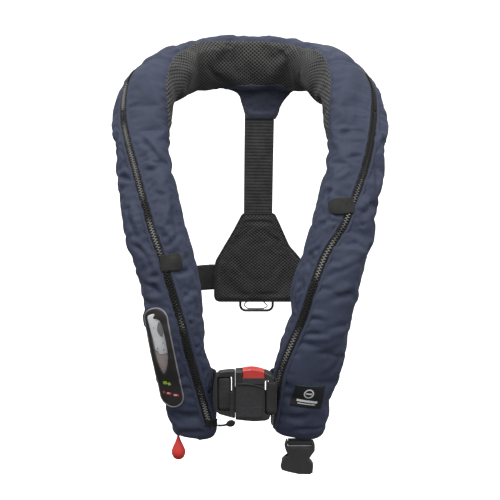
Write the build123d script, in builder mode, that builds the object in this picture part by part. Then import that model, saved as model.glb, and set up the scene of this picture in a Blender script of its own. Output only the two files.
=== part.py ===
from build123d import *
import os
from math import cos, sin, pi, copysign

os.makedirs("parts", exist_ok=True)

# ---------------------------------------------------------------- driving dimensions (mm)
cover_t = 2.0            # thickness of each cover panel
seam_gap = 0.3           # gap between the outer and the body-side panels
tape_w = 9.5             # width of the closed zipper
webbing_w = 41.0         # waist belt webbing
webbing_t = 1.8
back_strap_w = 44.0
buckle_y = -263.0        # middle plane of the main buckle
tongue_t = 9.0
socket_t = 16.0
latch_travel = 4.0       # travel of the release button
tongue_travel = 28.0     # how far the tongue goes to leave the socket
cyl_r = 14.0             # gas cylinder
inflator_r = 13.0
crotch_t = 10.0          # thickness of the crotch-strap buckle
ring_wire_r = 2.0

# The horseshoe: centre of the section, outward direction, half width, half thickness.
# The list runs from the lower end of the wearer's right lobe, round the neck, to the lower
# end of the left lobe.
STATIONS = [
    ((-72.9, -236.0, -456.7), (-0.152, -0.988, -0.023), 28.2, 13.0),
    ((-76.2, -236.0, -435.0), (-0.149, -0.989, -0.024), 30.2, 14.5),
    ((-80.1, -236.0, -411.9), (-0.146, -0.989, -0.017), 31.8, 16.5),
    ((-84.6, -235.6, -385.2), (-0.145, -0.989, 0.009), 34.0, 19.0),
    ((-91.6, -233.8, -352.9), (-0.150, -0.987, 0.057), 35.7, 23.0),
    ((-96.7, -229.9, -317.5), (-0.153, -0.981, 0.120), 37.0, 25.0),
    ((-101.3, -223.4, -280.4), (-0.153, -0.971, 0.186), 36.5, 25.0),
    ((-110.5, -213.6, -244.3), (-0.167, -0.947, 0.275), 37.3, 25.0),
    ((-121.6, -199.0, -208.8), (-0.182, -0.912, 0.368), 37.9, 24.0),
    ((-130.5, -181.0, -173.4), (-0.183, -0.872, 0.455), 36.7, 22.0),
    ((-137.2, -158.6, -137.7), (-0.173, -0.838, 0.518), 36.2, 21.6),
    ((-141.8, -137.1, -106.1), (-0.162, -0.798, 0.581), 36.5, 21.3),
    ((-144.5, -110.0, -73.0), (-0.311, -0.707, 0.635), 41.5, 23.0),
    ((-139.0, -78.0, -39.0), (-0.474, -0.473, 0.743), 43.0, 28.0),
    ((-123.0, -42.0, -16.0), (-0.558, -0.055, 0.828), 44.0, 29.0),
    ((-98.0, -13.0, -7.0), (-0.533, 0.438, 0.724), 41.0, 26.0),
    ((-64.0, 5.0, -1.0), (-0.375, 0.811, 0.450), 38.5, 21.0),
    ((-30.0, 14.0, 1.0), (-0.162, 0.919, 0.359), 38.5, 18.5),
    ((0.0, 15.5, 1.0), (0.000, 0.954, 0.301), 38.0, 18.0),
    ((30.0, 14.0, 1.0), (0.162, 0.919, 0.359), 38.5, 18.5),
    ((64.0, 5.0, -1.0), (0.384, 0.807, 0.449), 38.5, 21.0),
    ((96.0, -13.0, -7.0), (0.562, 0.414, 0.716), 41.0, 27.0),
    ((119.0, -42.0, -17.0), (0.581, -0.095, 0.808), 45.0, 30.0),
    ((134.0, -78.0, -42.0), (0.477, -0.485, 0.733), 45.0, 28.0),
    ((139.0, -110.0, -75.0), (0.310, -0.689, 0.655), 44.0, 24.0),
    ((138.0, -137.1, -106.1), (0.160, -0.787, 0.596), 39.0, 21.3),
    ((133.2, -158.6, -137.7), (0.178, -0.840, 0.512), 38.1, 21.6),
    ((124.1, -181.0, -173.4), (0.186, -0.874, 0.450), 37.9, 22.0),
    ((115.6, -199.0, -208.9), (0.181, -0.911, 0.370), 39.3, 22.3),
    ((104.7, -213.6, -244.3), (0.167, -0.948, 0.272), 39.4, 22.6),
    ((93.7, -223.4, -280.4), (0.151, -0.972, 0.177), 41.4, 22.9),
    ((86.4, -229.9, -317.5), (0.148, -0.983, 0.108), 39.9, 22.6),
    ((77.7, -233.8, -353.0), (0.146, -0.988, 0.050), 41.4, 22.2),
    ((70.7, -235.6, -385.2), (0.145, -0.989, 0.008), 40.6, 20.3),
    ((65.7, -236.0, -411.9), (0.149, -0.989, -0.013), 37.1, 17.5),
    ((63.8, -236.0, -435.0), (0.153, -0.988, -0.016), 36.4, 15.0),
    ((60.9, -236.0, -456.7), (0.153, -0.988, -0.020), 34.5, 13.0),
]
NS = len(STATIONS)
EXPONENT = 0.85          # how boxy the padded section is (1 = ellipse)

# angle of the zipper round the section at each station (0 = outer edge, 90 degrees = front)
ZIP_ANGLE = [2.42, 2.28, 2.195, 2.09, 2.035, 1.94, 1.76, 1.69, 1.62, 1.55, 1.42, 1.22, 1.18,
             1.20, 1.10, 0.95, 0.82, 0.75, 0.75, 0.78, 0.90, 1.10, 1.28, 1.20, 1.25, 1.27,
             1.408, 1.544, 1.70, 2.01, 2.09, 2.276, 2.47, 2.69, 2.81, 2.93, 3.05]

# folded bladder inside each station: offset towards the front, half thickness, half width
BLADDER = {
    1: (-3, 6, 13), 2: (-5, 6, 15), 3: (-8, 6, 16), 4: (-16.0, 3.2, 17), 5: (-17, 3.6, 19),
    6: (-19.2, 2.4, 17), 7: (-18.6, 2.6, 18), 8: (-15.5, 4.2, 20), 9: (-12, 6, 24),
    10: (-1, 15, 29), 11: (0, 16, 31), 12: (0, 18, 34), 13: (0, 22, 36), 14: (0, 23, 36),
    15: (0, 20, 34), 16: (0, 16, 32), 17: (0, 13.5, 32), 18: (0, 13, 32), 19: (0, 13.5, 32),
    20: (0, 16, 32), 21: (0, 20, 34), 22: (0, 23, 36), 23: (0, 22, 36), 24: (0, 18, 35),
    25: (0, 16, 33), 26: (-4, 13, 31), 27: (-9.5, 8, 30), 28: (-9.5, 8, 30), 29: (-9.5, 8, 30),
    30: (-9.5, 8, 31), 31: (-9.5, 8, 30), 32: (-9.5, 8, 30), 33: (-8.5, 7, 30), 34: (0, 12, 29),
    35: (0, 10, 28),
}


def centre(i):
    return Vector(*STATIONS[i][0])


def axes(i):
    """Direction along the horseshoe, towards the front, and across from the neck edge."""
    a, b = centre(max(i - 1, 0)), centre(min(i + 1, NS - 1))
    t = (b - a).normalized()
    n = Vector(*STATIONS[i][1])
    n = (n - t * n.dot(t)).normalized()
    return t, n, n.cross(t).normalized()


def station_plane(i, along=0.0):
    t, n, w = axes(i)
    return Plane(origin=centre(i) + t * along, x_dir=w, z_dir=t)


def rim(i, angle, lift=0.0, shrink=0.0):
    """Point of the section's outline at an angle, lifted along the outline's own normal."""
    a, b = STATIONS[i][2] - shrink, STATIONS[i][3] - shrink
    c, s = cos(angle), sin(angle)
    u = copysign(abs(c) ** EXPONENT, c) * a
    v = copysign(abs(s) ** EXPONENT, s) * b
    k = 2 / EXPONENT - 1
    nu = copysign(abs(u / a) ** k, u) / a
    nv = copysign(abs(v / b) ** k, v) / b
    m = (nu * nu + nv * nv) ** 0.5
    return (u + nu / m * lift, v + nv / m * lift), (nu / m, nv / m)


def half_ring(i, sign):
    """Closed profile of one cover panel: front half for +1, body-side half for -1."""
    n = 12
    angles = [pi * k / n for k in range(n + 1)]
    outer = [rim(i, q)[0] for q in angles]
    inner = [rim(i, q, shrink=cover_t)[0] for q in angles]
    g = seam_gap / 2
    outer = [(u, sign * max(v, g)) for u, v in outer]
    inner = [(u, sign * max(v, g)) for u, v in inner]
    return outer, inner


def add_half_ring(i, sign):
    outer, inner = half_ring(i, sign)
    with BuildSketch(station_plane(i)) as profile:
        with BuildLine():
            Spline(*outer)
            Line(outer[-1], inner[-1])
            Spline(*inner[::-1])
            Line(inner[0], outer[0])
        make_face()
    add(profile.sketch)


def add_band_profile(i, a0, a1, low, high):
    """Closed profile of a strip that follows the outline between two angles."""
    n = 6
    angles = [a0 + (a1 - a0) * k / n for k in range(n + 1)]
    top = [rim(i, q, lift=high)[0] for q in angles]
    bottom = [rim(i, q, lift=low)[0] for q in angles]
    with BuildSketch(station_plane(i)) as profile:
        with BuildLine():
            Spline(*top)
            Line(top[-1], bottom[-1])
            Spline(*bottom[::-1])
            Line(bottom[0], top[0])
        make_face()
    add(profile.sketch)


def add_tape_profile(i, angle, width, low, high):
    """A narrow rectangle lying on the section's outline."""
    (u, v), (nu, nv) = rim(i, angle, lift=(low + high) / 2)
    t, n, w = axes(i)
    origin = centre(i) + w * u + n * v
    out = (w * nu + n * nv).normalized()
    with BuildSketch(Plane(origin=origin, x_dir=out.cross(t), z_dir=t)) as profile:
        Rectangle(width, high - low)
    add(profile.sketch)


def place(t, u, v):
    """A point at a fractional station, u across from the neck edge and v to the front."""
    i = min(int(t), NS - 2)
    f = t - i
    pts = []
    for k in (i, i + 1):
        tt, n, w = axes(k)
        pts.append(centre(k) + w * u + n * v)
    return pts[0] * (1 - f) + pts[1] * f


def ribbon_plane(p, q, out):
    """Plane across a run of webbing: x across its width, y towards its outer face."""
    t = (q - p).normalized()
    o = (out - t * out.dot(t)).normalized()
    return t, o


def add_ribbon(points, outs, width, thick):
    """Sections of webbing across a path; the caller lofts them."""
    pts = [Vector(*p) for p in points]
    for k, p in enumerate(pts):
        t, o = ribbon_plane(pts[max(k - 1, 0)], pts[min(k + 1, len(pts) - 1)], Vector(*outs[k]))
        with BuildSketch(Plane(origin=p, x_dir=o.cross(t), z_dir=t)) as profile:
            Rectangle(width, thick)
        add(profile.sketch)


def prism_xz(points, y0, y1):
    """Outline in the X-Z plane, extruded from y0 (rear) to y1 (front)."""
    with BuildSketch(Plane.XZ.offset(-y0)) as profile:
        with BuildLine():
            Polyline(*points, close=True)
        make_face()
    extrude(profile.sketch, amount=y0 - y1)


# ---------------------------------------------------------------- cutters for the left panel
panel_top = (-116.9, -312.0)
panel_bottom = (-98.6, -409.3)
panel_mid = ((panel_top[0] + panel_bottom[0]) / 2, (panel_top[1] + panel_bottom[1]) / 2)
panel_len = ((panel_top[0] - panel_bottom[0]) ** 2 + (panel_top[1] - panel_bottom[1]) ** 2) ** 0.5
panel_turn = -79.3
lens_top = (-116.2, -317.0)
lens_tip = (-107.2, -373.5)


def capsule_prism(radius, mode):
    with BuildSketch(Plane.XZ.offset(200)) as profile:
        with Locations(panel_mid):
            SlotCenterToCenter(panel_len, 2 * radius, rotation=panel_turn)
    extrude(profile.sketch, amount=80, mode=mode)


def lens_prism(grow, mode):
    with BuildSketch(Plane.XZ.offset(200)) as profile:
        with Locations(lens_top):
            Circle(11.0 + grow)
        with Locations(lens_tip):
            Circle(2.6 + grow)
        make_hull()
    extrude(profile.sketch, amount=80, mode=mode)


# ---------------------------------------------------------------- cover
def cover_piece(first, last, sign):
    for i in range(first, last + 1):
        add_half_ring(i, sign)
    loft(ruled=True)


with BuildPart() as cover_front_left:
    cover_piece(0, 12, 1)
    lens_prism(1.0, Mode.SUBTRACT)
with BuildPart() as cover_back_left:
    cover_piece(0, 12, -1)
with BuildPart() as cover_collar:
    cover_piece(12, 24, 1)
with BuildPart() as collar_lining:
    cover_piece(12, 24, -1)
with BuildPart() as cover_front_right:
    cover_piece(24, 36, 1)
with BuildPart() as cover_back_right:
    cover_piece(24, 36, -1)


def hem(i, sign):
    """Closed lower end of a lobe."""
    a, b = STATIONS[i][2], STATIONS[i][3]
    for along, ka, kb in ((0.0, 1.0, 1.0), (7.0, 0.88, 0.82), (11.5, 0.6, 0.5)):
        with BuildSketch(station_plane(i, sign * (along + 0.05))) as profile:
            Ellipse(a * ka, b * kb)
        add(profile.sketch)
    loft(ruled=True)


handle_top = Vector(-93.4, -236.0, -463.7)
pull_dir = Vector(0, 0, -1)
lanyard_len = 97.0
pull_travel = 30.0

with BuildPart() as hem_left:
    hem(0, -1)
    with BuildSketch(Plane(origin=handle_top - pull_dir * 30, x_dir=(0, 1, 0), z_dir=pull_dir)):
        Circle(2.2)
    extrude(amount=60, mode=Mode.SUBTRACT)
with BuildPart() as hem_right:
    hem(36, 1)

# ---------------------------------------------------------------- bladder
with BuildPart() as bladder:
    for i in sorted(BLADDER):
        off, half_t, half_w = BLADDER[i]
        t, n, w = axes(i)
        with BuildSketch(Plane(origin=centre(i) + n * off, x_dir=w, z_dir=t)):
            Ellipse(half_w, half_t)
    loft(ruled=True)

# ---------------------------------------------------------------- inflator in the left lobe
axis_a = place(4.0, 17, 4)
axis_b = place(8.3, 10, 6)
inf_dir = (axis_b - axis_a).normalized()
inf_front = Vector(*STATIONS[5][1])
inf_front = (inf_front - inf_dir * inf_front.dot(inf_dir)).normalized()
inf_side = inf_front.cross(inf_dir)


def inf_plane(s, side=0.0, front=0.0):
    """Across the inflator's axis at a distance s from its lower end."""
    return Plane(origin=axis_a + inf_dir * s + inf_side * side + inf_front * front,
                 x_dir=inf_side, z_dir=inf_dir)


with BuildPart() as inflator_body:
    with BuildSketch(inf_plane(6)):
        Circle(inflator_r)
    extrude(amount=44)
    with BuildSketch(inf_plane(36)):
        Circle(7.2)
    extrude(amount=20, mode=Mode.SUBTRACT)
    with BuildSketch(inf_plane(18, front=12.2)):
        Rectangle(30, 4)
    extrude(amount=22, mode=Mode.SUBTRACT)
    # bore for the lever's pin
    with BuildSketch(Plane(origin=axis_a + inf_dir * 11 - inf_side * 20, x_dir=inf_front,
                           z_dir=inf_side)):
        Circle(1.55)
    extrude(amount=14, mode=Mode.SUBTRACT)

with BuildPart() as indicator:
    with BuildSketch(Plane(origin=axis_a + inf_dir * 29 + inf_front * 10.4, x_dir=inf_side,
                           z_dir=inf_front)):
        Ellipse(5, 7)
    extrude(amount=1.6)

with BuildPart() as firing_cartridge:
    with BuildSketch(inf_plane(-9)):
        Circle(10.5)
    extrude(amount=9)
    chamfer(faces().sort_by(SortBy.AREA)[-1].edges(), 0.6)

with BuildPart() as gas_cylinder:
    with BuildSketch(Plane(origin=axis_a, x_dir=inf_side, z_dir=-inf_front)):
        with BuildLine():
            Polyline((0, 38), (6.8, 38), (6.8, 56), (9, 59), (cyl_r, 67), (cyl_r, 152),
                     (11, 159), (0, 162), (0, 38))
        make_face()
    revolve(axis=Axis(axis_a, inf_dir), revolution_arc=360)

with BuildPart() as manifold_nut:
    with BuildSketch(Plane(origin=axis_a + inf_dir * 26 - inf_front * 13.1, x_dir=inf_side,
                           z_dir=-inf_front)):
        RegularPolygon(9, 6)
    extrude(amount=1.4)

# manual lever: turns on a pin that stands out of the inflator's inner side
lever_pivot = axis_a + inf_dir * 11
lever_tilt = 35.0        # rest angle between the lever and the inflator's axis
lever_down = (inf_front * sin(lever_tilt * pi / 180) - inf_dir * cos(lever_tilt * pi / 180))
with BuildPart() as inflator_lever:
    with BuildSketch(Plane(origin=lever_pivot - inf_side * 13.8, x_dir=lever_down,
                           z_dir=-inf_side)):
        SlotOverall(27.0, 7.0)
    extrude(amount=2.4)
    with BuildSketch(Plane(origin=lever_pivot - inf_side * 13.8, x_dir=lever_down,
                           z_dir=-inf_side)):
        Circle(1.65)
    extrude(amount=2.4, mode=Mode.SUBTRACT)
with BuildPart() as lever_pin:
    with BuildSketch(Plane(origin=lever_pivot - inf_side * 6.5, x_dir=inf_front,
                           z_dir=-inf_side)):
        Circle(1.5)
    extrude(amount=10.4)
    with BuildSketch(Plane(origin=lever_pivot - inf_side * 16.4, x_dir=inf_front,
                           z_dir=-inf_side)):
        Circle(2.6)
    extrude(amount=0.8)

# ---------------------------------------------------------------- pull handle and its lanyard
with BuildPart() as pull_handle:
    with BuildSketch(Plane(origin=handle_top, x_dir=Vector(0, 1, 0).cross(pull_dir),
                           z_dir=(0, -1, 0))):
        with BuildLine():
            Spline((1.1, 0.0), (2.0, 6.0), (5.3, 15.0), (8.2, 22.0), (8.9, 26.5), (7.2, 31.6),
                   (0.0, 35.0), tangents=((0, 1), (-1, 0)))
            Polyline((0.0, 35.0), (0.0, 0.0), (1.1, 0.0))
        make_face()
    revolve(axis=Axis(handle_top, pull_dir), revolution_arc=360)
with BuildPart() as pull_lanyard:
    with BuildSketch(Plane(origin=handle_top - pull_dir * 0.05, x_dir=(0, 1, 0),
                           z_dir=-pull_dir)):
        Circle(1.3)
    extrude(amount=lanyard_len)

# ---------------------------------------------------------------- inspection panel
with BuildPart() as _panel_band:
    for i in range(1, 7):
        add_band_profile(i, 0.05, 1.9, 0.5, 2.1)
    loft(ruled=True)
with BuildPart() as inspection_panel:
    add(_panel_band.part)
    capsule_prism(13.4, Mode.INTERSECT)
    lens_prism(0.2, Mode.SUBTRACT)
with BuildPart() as panel_piping:
    add(_panel_band.part)
    capsule_prism(15.2, Mode.INTERSECT)
    capsule_prism(13.6, Mode.SUBTRACT)
with BuildPart() as panel_window:
    add(_panel_band.part)
    lens_prism(0.0, Mode.INTERSECT)

# ---------------------------------------------------------------- zippers
def zip_strip(first, last, width, low, high):
    for i in range(first, last + 1):
        add_tape_profile(i, ZIP_ANGLE[i], width, low, high)
    loft(ruled=True)


with BuildPart() as zip_tape_left:
    zip_strip(1, 12, tape_w, 0.9, 1.6)
with BuildPart() as zip_tape_collar:
    zip_strip(12, 24, tape_w, 0.9, 1.6)
with BuildPart() as zip_tape_right:
    zip_strip(24, 36, tape_w, 0.9, 1.6)
with BuildPart() as zip_teeth_left:
    zip_strip(1, 12, 3.8, 1.7, 3.0)
with BuildPart() as zip_teeth_collar:
    zip_strip(12, 24, 3.8, 1.7, 3.0)
with BuildPart() as zip_teeth_right:
    zip_strip(24, 36, 3.8, 1.7, 3.0)

# zip garage at the lower end of the left zipper
with BuildPart() as _garage_band:
    for i in range(0, 3):
        add_band_profile(i, 2.1, 3.2, 3.3, 4.5)
    loft(ruled=True)
with BuildPart() as zip_garage:
    add(_garage_band.part)
    with BuildSketch(Plane.XZ.offset(200)):
        with BuildLine():
            Polyline((-56.5, -432.5), (-43.0, -432.5), (-41.0, -453.0), (-54.5, -453.0), close=True)
        make_face()
    extrude(amount=80, mode=Mode.INTERSECT)

# slider under the garage
with BuildPart() as _slider_band:
    for i in range(0, 3):
        add_band_profile(i, 2.5, 3.1, 0.7, 2.9)
    loft(ruled=True)
with BuildPart() as zip_slider:
    add(_slider_band.part)
    with BuildSketch(Plane.XZ.offset(200)):
        with Locations((-49.0, -449.5)):
            RectangleRounded(9.0, 6.5, 1.0)
    extrude(amount=80, mode=Mode.INTERSECT)

# pull: a short cord with a moulded tab, hinged at the slider's end
pull_pivot = (-38.4, -243.0, -450.2)
with BuildPart() as zip_pull:
    # eye round the hinge line, then the cord, then the moulded tab
    with BuildSketch(Plane.XZ.offset(-pull_pivot[1] - 1.0)):
        with Locations((pull_pivot[0], pull_pivot[2])):
            Circle(1.3)
    extrude(amount=2.0)
    with BuildSketch(Plane.XZ.offset(-pull_pivot[1] - 0.9)):
        with Locations((-34.2, -450.2)):
            Rectangle(7.0, 1.8)
    extrude(amount=1.8)
    with BuildSketch(Plane.XZ.offset(-pull_pivot[1] - 1.7)):
        with BuildLine():
            Polyline((-31.8, -449.0), (-28.6, -444.7), (-22.9, -443.3), (-19.7, -445.4),
                     (-21.7, -451.5), (-28.1, -453.9), (-31.2, -452.8), close=True)
        make_face()
    extrude(amount=3.4)

# ---------------------------------------------------------------- tabs over the zippers
with BuildPart() as _tab_left_band:
    for i in range(6, 9):
        add_band_profile(i, 1.35, 2.6, 3.4, 4.4)
    loft(ruled=True)
with BuildPart() as tab_left:
    add(_tab_left_band.part)
    with BuildSketch(Plane.XZ.offset(190)):
        with Locations((-98.1, -240.6)):
            RectangleRounded(27.0, 21.0, 3.0, rotation=-6)
    extrude(amount=80, mode=Mode.INTERSECT)
with BuildPart() as _tab_right_band:
    for i in range(26, 29):
        add_band_profile(i, 1.15, 2.7, 3.4, 4.4)
    loft(ruled=True)
with BuildPart() as tab_right:
    add(_tab_right_band.part)
    with BuildSketch(Plane.XZ.offset(150)):
        with Locations((111.5, -176.0)):
            RectangleRounded(30.0, 20.0, 4.0, rotation=2)
    extrude(amount=90, mode=Mode.INTERSECT)

# ---------------------------------------------------------------- plain patch on the right lobe
with BuildPart() as _patch_band:
    for i in range(32, 37):
        add_band_profile(i, 0.8, 2.3, 0.5, 1.5)
    loft(ruled=True)
with BuildPart() as patch:
    add(_patch_band.part)
    with BuildSketch(Plane.XZ.offset(200)):
        with BuildLine():
            Polyline((55.5, -388.6), (92.0, -393.0), (87.6, -424.0), (47.6, -417.3), close=True)
        make_face()
    extrude(amount=80, mode=Mode.INTERSECT)

# ---------------------------------------------------------------- back: yoke, strap, pad
with BuildPart() as yoke_flap:
    prism_xz([(-31, -38.6), (-22, -41.5), (-17.8, -46.1), (-13.4, -60.1), (-7.4, -80.1),
              (36, -80.1), (40.1, -74.5), (46.9, -57), (56.3, -45), (63.7, -38.6)], 30.0, 27.5)
with BuildPart() as back_strap:
    add_ribbon([(12.8, 31.3, -70), (12.6, 31.4, -84), (11.7, 33.6, -150), (11.0, 36.5, -222),
                (11.0, 36.6, -224.9)], [(0, 1, 0)] * 5, back_strap_w, 2.0)
    loft(ruled=True)
with BuildPart() as back_pad:
    prism_xz([(-12.2, -225.2), (35.5, -225.2), (43, -241), (50.5, -258), (58.5, -276),
              (77.3, -298), (80.3, -359), (77, -361.5), (35, -364.5), (12.7, -366), (-10, -364.5),
              (-53, -361.5), (-57.3, -359.2), (-54.5, -301.1)], 41.0, 33.0)
    fillet(edges().filter_by(Axis.Y), 2.0)

belt_z = -326.8
with BuildPart() as belt_back:
    add_ribbon([(-60, 43, belt_z), (-20, 44, belt_z), (40, 44, belt_z), (83, 43, belt_z)],
               [(0, 1, 0)] * 4, webbing_w, webbing_t)
    loft(ruled=True)
LEFT_BELT = [(-61.2, 42.8, -326.8), (-85, 38, -328), (-112, 20, -332), (-130, -15, -339),
             (-135, -60, -349), (-132, -110, -363), (-122, -160, -380), (-104, -196, -393),
             (-82, -211, -400), (-64, -215.2, -402)]
LEFT_OUT = [(0, 1, 0), (-.3, 1, 0), (-.8, .7, 0), (-1, .3, 0), (-1, 0, 0), (-1, -.2, 0),
            (-1, -.4, 0), (-.7, -.8, 0), (-.3, -1, 0), (-.3, -1, 0)]
with BuildPart() as belt_left:
    # path runs back to front, so the outer face is named from the body's side
    add_ribbon(LEFT_BELT, LEFT_OUT, webbing_w, webbing_t)
    loft(ruled=True)
with BuildPart() as belt_left_end:
    add_ribbon([(-60.6, -216.4, -402), (-50.5, -222, -401.5), (-45.0, -231, -401),
                (-43.2, -244, -400.5)],
               [(-.3, -1, 0), (-.7, -.7, 0), (-1, -.3, 0), (-1, -.1, 0)], webbing_w, webbing_t)
    loft(ruled=True)
RIGHT_BELT = [(85.6, 42.2, -326.8), (97, 36.5, -328), (112, 20, -332), (124, -15, -339),
              (127, -60, -349), (124, -110, -363), (115, -160, -380), (98, -196, -393),
              (76, -211, -400.5), (54, -216.0, -402.5)]
RIGHT_OUT = [(0, 1, 0), (.5, 1, 0), (.8, .6, 0), (1, .3, 0), (1, 0, 0), (1, -.2, 0),
             (1, -.4, 0), (.7, -.8, 0), (.3, -1, 0), (.2, -1, 0)]
with BuildPart() as belt_right:
    add_ribbon(RIGHT_BELT, RIGHT_OUT, webbing_w, webbing_t)
    loft(ruled=True)
with BuildPart() as belt_right_end:
    add_ribbon([(51.0, -217.2, -402.5), (37, -218.6, -402), (27.6, -222.8, -401.6),
                (24.2, -230, -401.4), (22.8, -240, -401.4), (22.6, -251.0, -401.4)],
               [(.1, -1, 0), (.2, -1, 0), (.8, -.8, 0), (1, -.3, 0), (1, 0, 0),
                (1, 0, 0)], webbing_w, webbing_t)
    loft(ruled=True)

# ---------------------------------------------------------------- ring under the pad
ring_y, ring_z = 46.2, -356.0
ring_x0, ring_x1 = -16.9, 34.6
ring_bottom = -382.4
with BuildPart() as wire_ring:
    with BuildLine():
        ring_path = FilletPolyline((8.85, ring_y, ring_z), (ring_x1, ring_y, ring_z),
                                   (ring_x1, ring_y, ring_bottom), (ring_x0, ring_y, ring_bottom),
                                   (ring_x0, ring_y, ring_z), (8.85 - 0.02, ring_y, ring_z),
                                   radius=9.0)
    with BuildSketch(Plane(origin=(8.85, ring_y, ring_z), z_dir=(1, 0, 0))):
        Circle(ring_wire_r)
    sweep(path=ring_path)
with BuildPart() as ring_link:
    with BuildLine():
        link_path = FilletPolyline((6.5, ring_y, -366.2), (18.0, ring_y, -366.2),
                                   (27.5, ring_y, -375.5), (19.5, ring_y, -379.3),
                                   (-4.5, ring_y, -379.3), (-11.8, ring_y, -373.4),
                                   (-5.0, ring_y, -366.2), (6.48, ring_y, -366.2), radius=2.2)
    with BuildSketch(Plane(origin=(6.5, ring_y, -366.2), z_dir=(1, 0, 0))):
        Circle(0.9)
    sweep(path=link_path)
with BuildPart() as ring_loop:
    with BuildSketch(Plane(origin=(-6.0, ring_y, ring_z), x_dir=(0, 1, 0), z_dir=(1, 0, 0))):
        Circle(ring_wire_r + 1.8)
        with Locations((-0.3, 20)):
            Rectangle(1.6, 40)
        Circle(ring_wire_r + 0.3, mode=Mode.SUBTRACT)
    extrude(amount=30)

# ---------------------------------------------------------------- main buckle
TONGUE_OUTLINE = [(-20.3, -368.2), (-28.6, -368.5), (-38.7, -369.8), (-43.5, -374.5),
                  (-45.9, -382.7), (-47.0, -393.3), (-47.4, -406.2), (-46.2, -417.0),
                  (-43.9, -420.9), (-39.1, -425.3), (-26.0, -429.1), (-20.3, -430.6)]
SOCKET_OUTLINE = [(-19.3, -368.2), (-11.7, -367.6), (18.3, -369.8), (24.3, -372.6),
                  (27.9, -376.4), (28.7, -386.8), (27.0, -407.7), (24.0, -424.9),
                  (22.1, -430.4), (17.9, -432.4), (4.1, -433.4), (-7.9, -432.4),
                  (-19.3, -430.9)]
with BuildPart() as buckle_tongue:
    prism_xz(TONGUE_OUTLINE, buckle_y + tongue_t / 2, buckle_y - tongue_t / 2)
    fillet(edges().group_by(Axis.Y)[0], 1.6)
    fillet(edges().group_by(Axis.Y)[-1], 1.2)
    # opening for the webbing, with its bar left standing
    with BuildSketch(Plane.XZ.offset(-buckle_y + 10)):
        with Locations((-32.3, -398.2)):
            RectangleRounded(18.4, 44.6, 2.0)
    extrude(amount=-20, mode=Mode.SUBTRACT)
    with BuildSketch(Plane.XY.offset(-421.5)):
        with Locations((-31.0, buckle_y)):
            Circle(2.25)
    extrude(amount=46.6)
    # blade that slides into the socket
    with BuildSketch(Plane(origin=(-20.4, buckle_y, -407.0), x_dir=(0, 1, 0), z_dir=(1, 0, 0))):
        RectangleRounded(6.0, 32.6, 1.0)
    extrude(amount=17.0)
with BuildPart() as belt_loop_left:
    with BuildSketch(Plane.XY.offset(-398.2 - webbing_w / 2)):
        with Locations((-31.0, buckle_y)):
            Circle(4.6)
        with BuildLine():
            Polyline((-34.2, -266.2), (-35.8, -265.0), (-40.6, -255.6), (-38.8, -254.8),
                     (-33.8, -263.0), (-34.2, -266.2))
        make_face()
        with Locations((-31.0, buckle_y)):
            Circle(2.6, mode=Mode.SUBTRACT)
    extrude(amount=webbing_w)

with BuildPart() as buckle_socket:
    prism_xz(SOCKET_OUTLINE, buckle_y + socket_t / 2, buckle_y - socket_t / 2)
    fillet(edges().group_by(Axis.Y)[0], 2.2)
    fillet(edges().group_by(Axis.Y)[-1], 2.2)
    # cavity for the blade, open on the left
    with BuildSketch(Plane(origin=(-22.0, buckle_y, -407.0), x_dir=(0, 1, 0), z_dir=(1, 0, 0))):
        Rectangle(7.4, 34.0)
    extrude(amount=32.5, mode=Mode.SUBTRACT)
    # pocket for the button, open upwards and to the front, and the shaft down to the cavity
    with BuildSketch(Plane.XZ.offset(-buckle_y - socket_t / 2 + 2.5)):
        with BuildLine():
            Polyline((-10.9, -360.0), (-10.9, -383.0), (16.9, -383.0), (16.9, -360.0), close=True)
        make_face()
    extrude(amount=socket_t, mode=Mode.SUBTRACT)
    # well for the button's spring
    with BuildSketch(Plane(origin=(3.0, buckle_y, -387.0), z_dir=(0, 0, 1))):
        Circle(3.4)
    extrude(amount=6.0, mode=Mode.SUBTRACT)
    # slot for the webbing on the right
    with BuildSketch(Plane.XZ.offset(-buckle_y + 12)):
        with Locations((19.6, -401.4)):
            SlotOverall(45.0, 5.4, rotation=90)
    extrude(amount=-24, mode=Mode.SUBTRACT)
    # raised front shield below the button
    with BuildSketch(Plane.XZ.offset(-buckle_y + socket_t / 2 - 0.2)):
        with BuildLine():
            Spline((-18.6, -386.8), (-4.9, -386.6), (4.1, -387.7), (15.6, -391.6))
            Polyline((15.6, -391.6), (12.6, -426.5), (-18.6, -426.5), (-18.6, -386.8))
        make_face()
    extrude(amount=1.4)
with BuildPart() as belt_loop_right:
    # webbing round the socket's end bar, as a short closed loop
    with BuildSketch(Plane.XY.offset(-401.4 - webbing_w / 2)):
        with BuildLine():
            Polyline((18.2, -272.9), (29.8, -272.9), (31.2, -271.5), (31.2, -254.0),
                     (29.8, -252.6), (18.2, -252.6), close=True)
        make_face()
        with BuildLine():
            Polyline((19.8, -271.4), (29.6, -271.4), (29.6, -254.2), (19.8, -254.2), close=True)
        make_face(mode=Mode.SUBTRACT)
    extrude(amount=webbing_w)

with BuildPart() as release_button:
    with BuildSketch(Plane.XZ.offset(-buckle_y - socket_t / 2 + 2.9)):
        with BuildLine():
            Polyline((-10.3, -378.2), (-10.5, -367.0), (-4.8, -365.9), (1.0, -365.4),
                     (7.0, -366.2), (12.9, -367.6), (16.2, -369.0), (16.4, -378.2), close=True)
        make_face()
    extrude(amount=socket_t - 3.4)
    chamfer(edges().group_by(Axis.Y)[0], 0.7)
with BuildPart() as button_spring:
    with Locations(Plane(origin=(3.0, buckle_y, -387.0), z_dir=(0, 0, 1))):
        Cylinder(3.0, 8.6, align=(Align.CENTER, Align.CENTER, Align.MIN))
        Cylinder(2.2, 8.6, align=(Align.CENTER, Align.CENTER, Align.MIN), mode=Mode.SUBTRACT)

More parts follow.
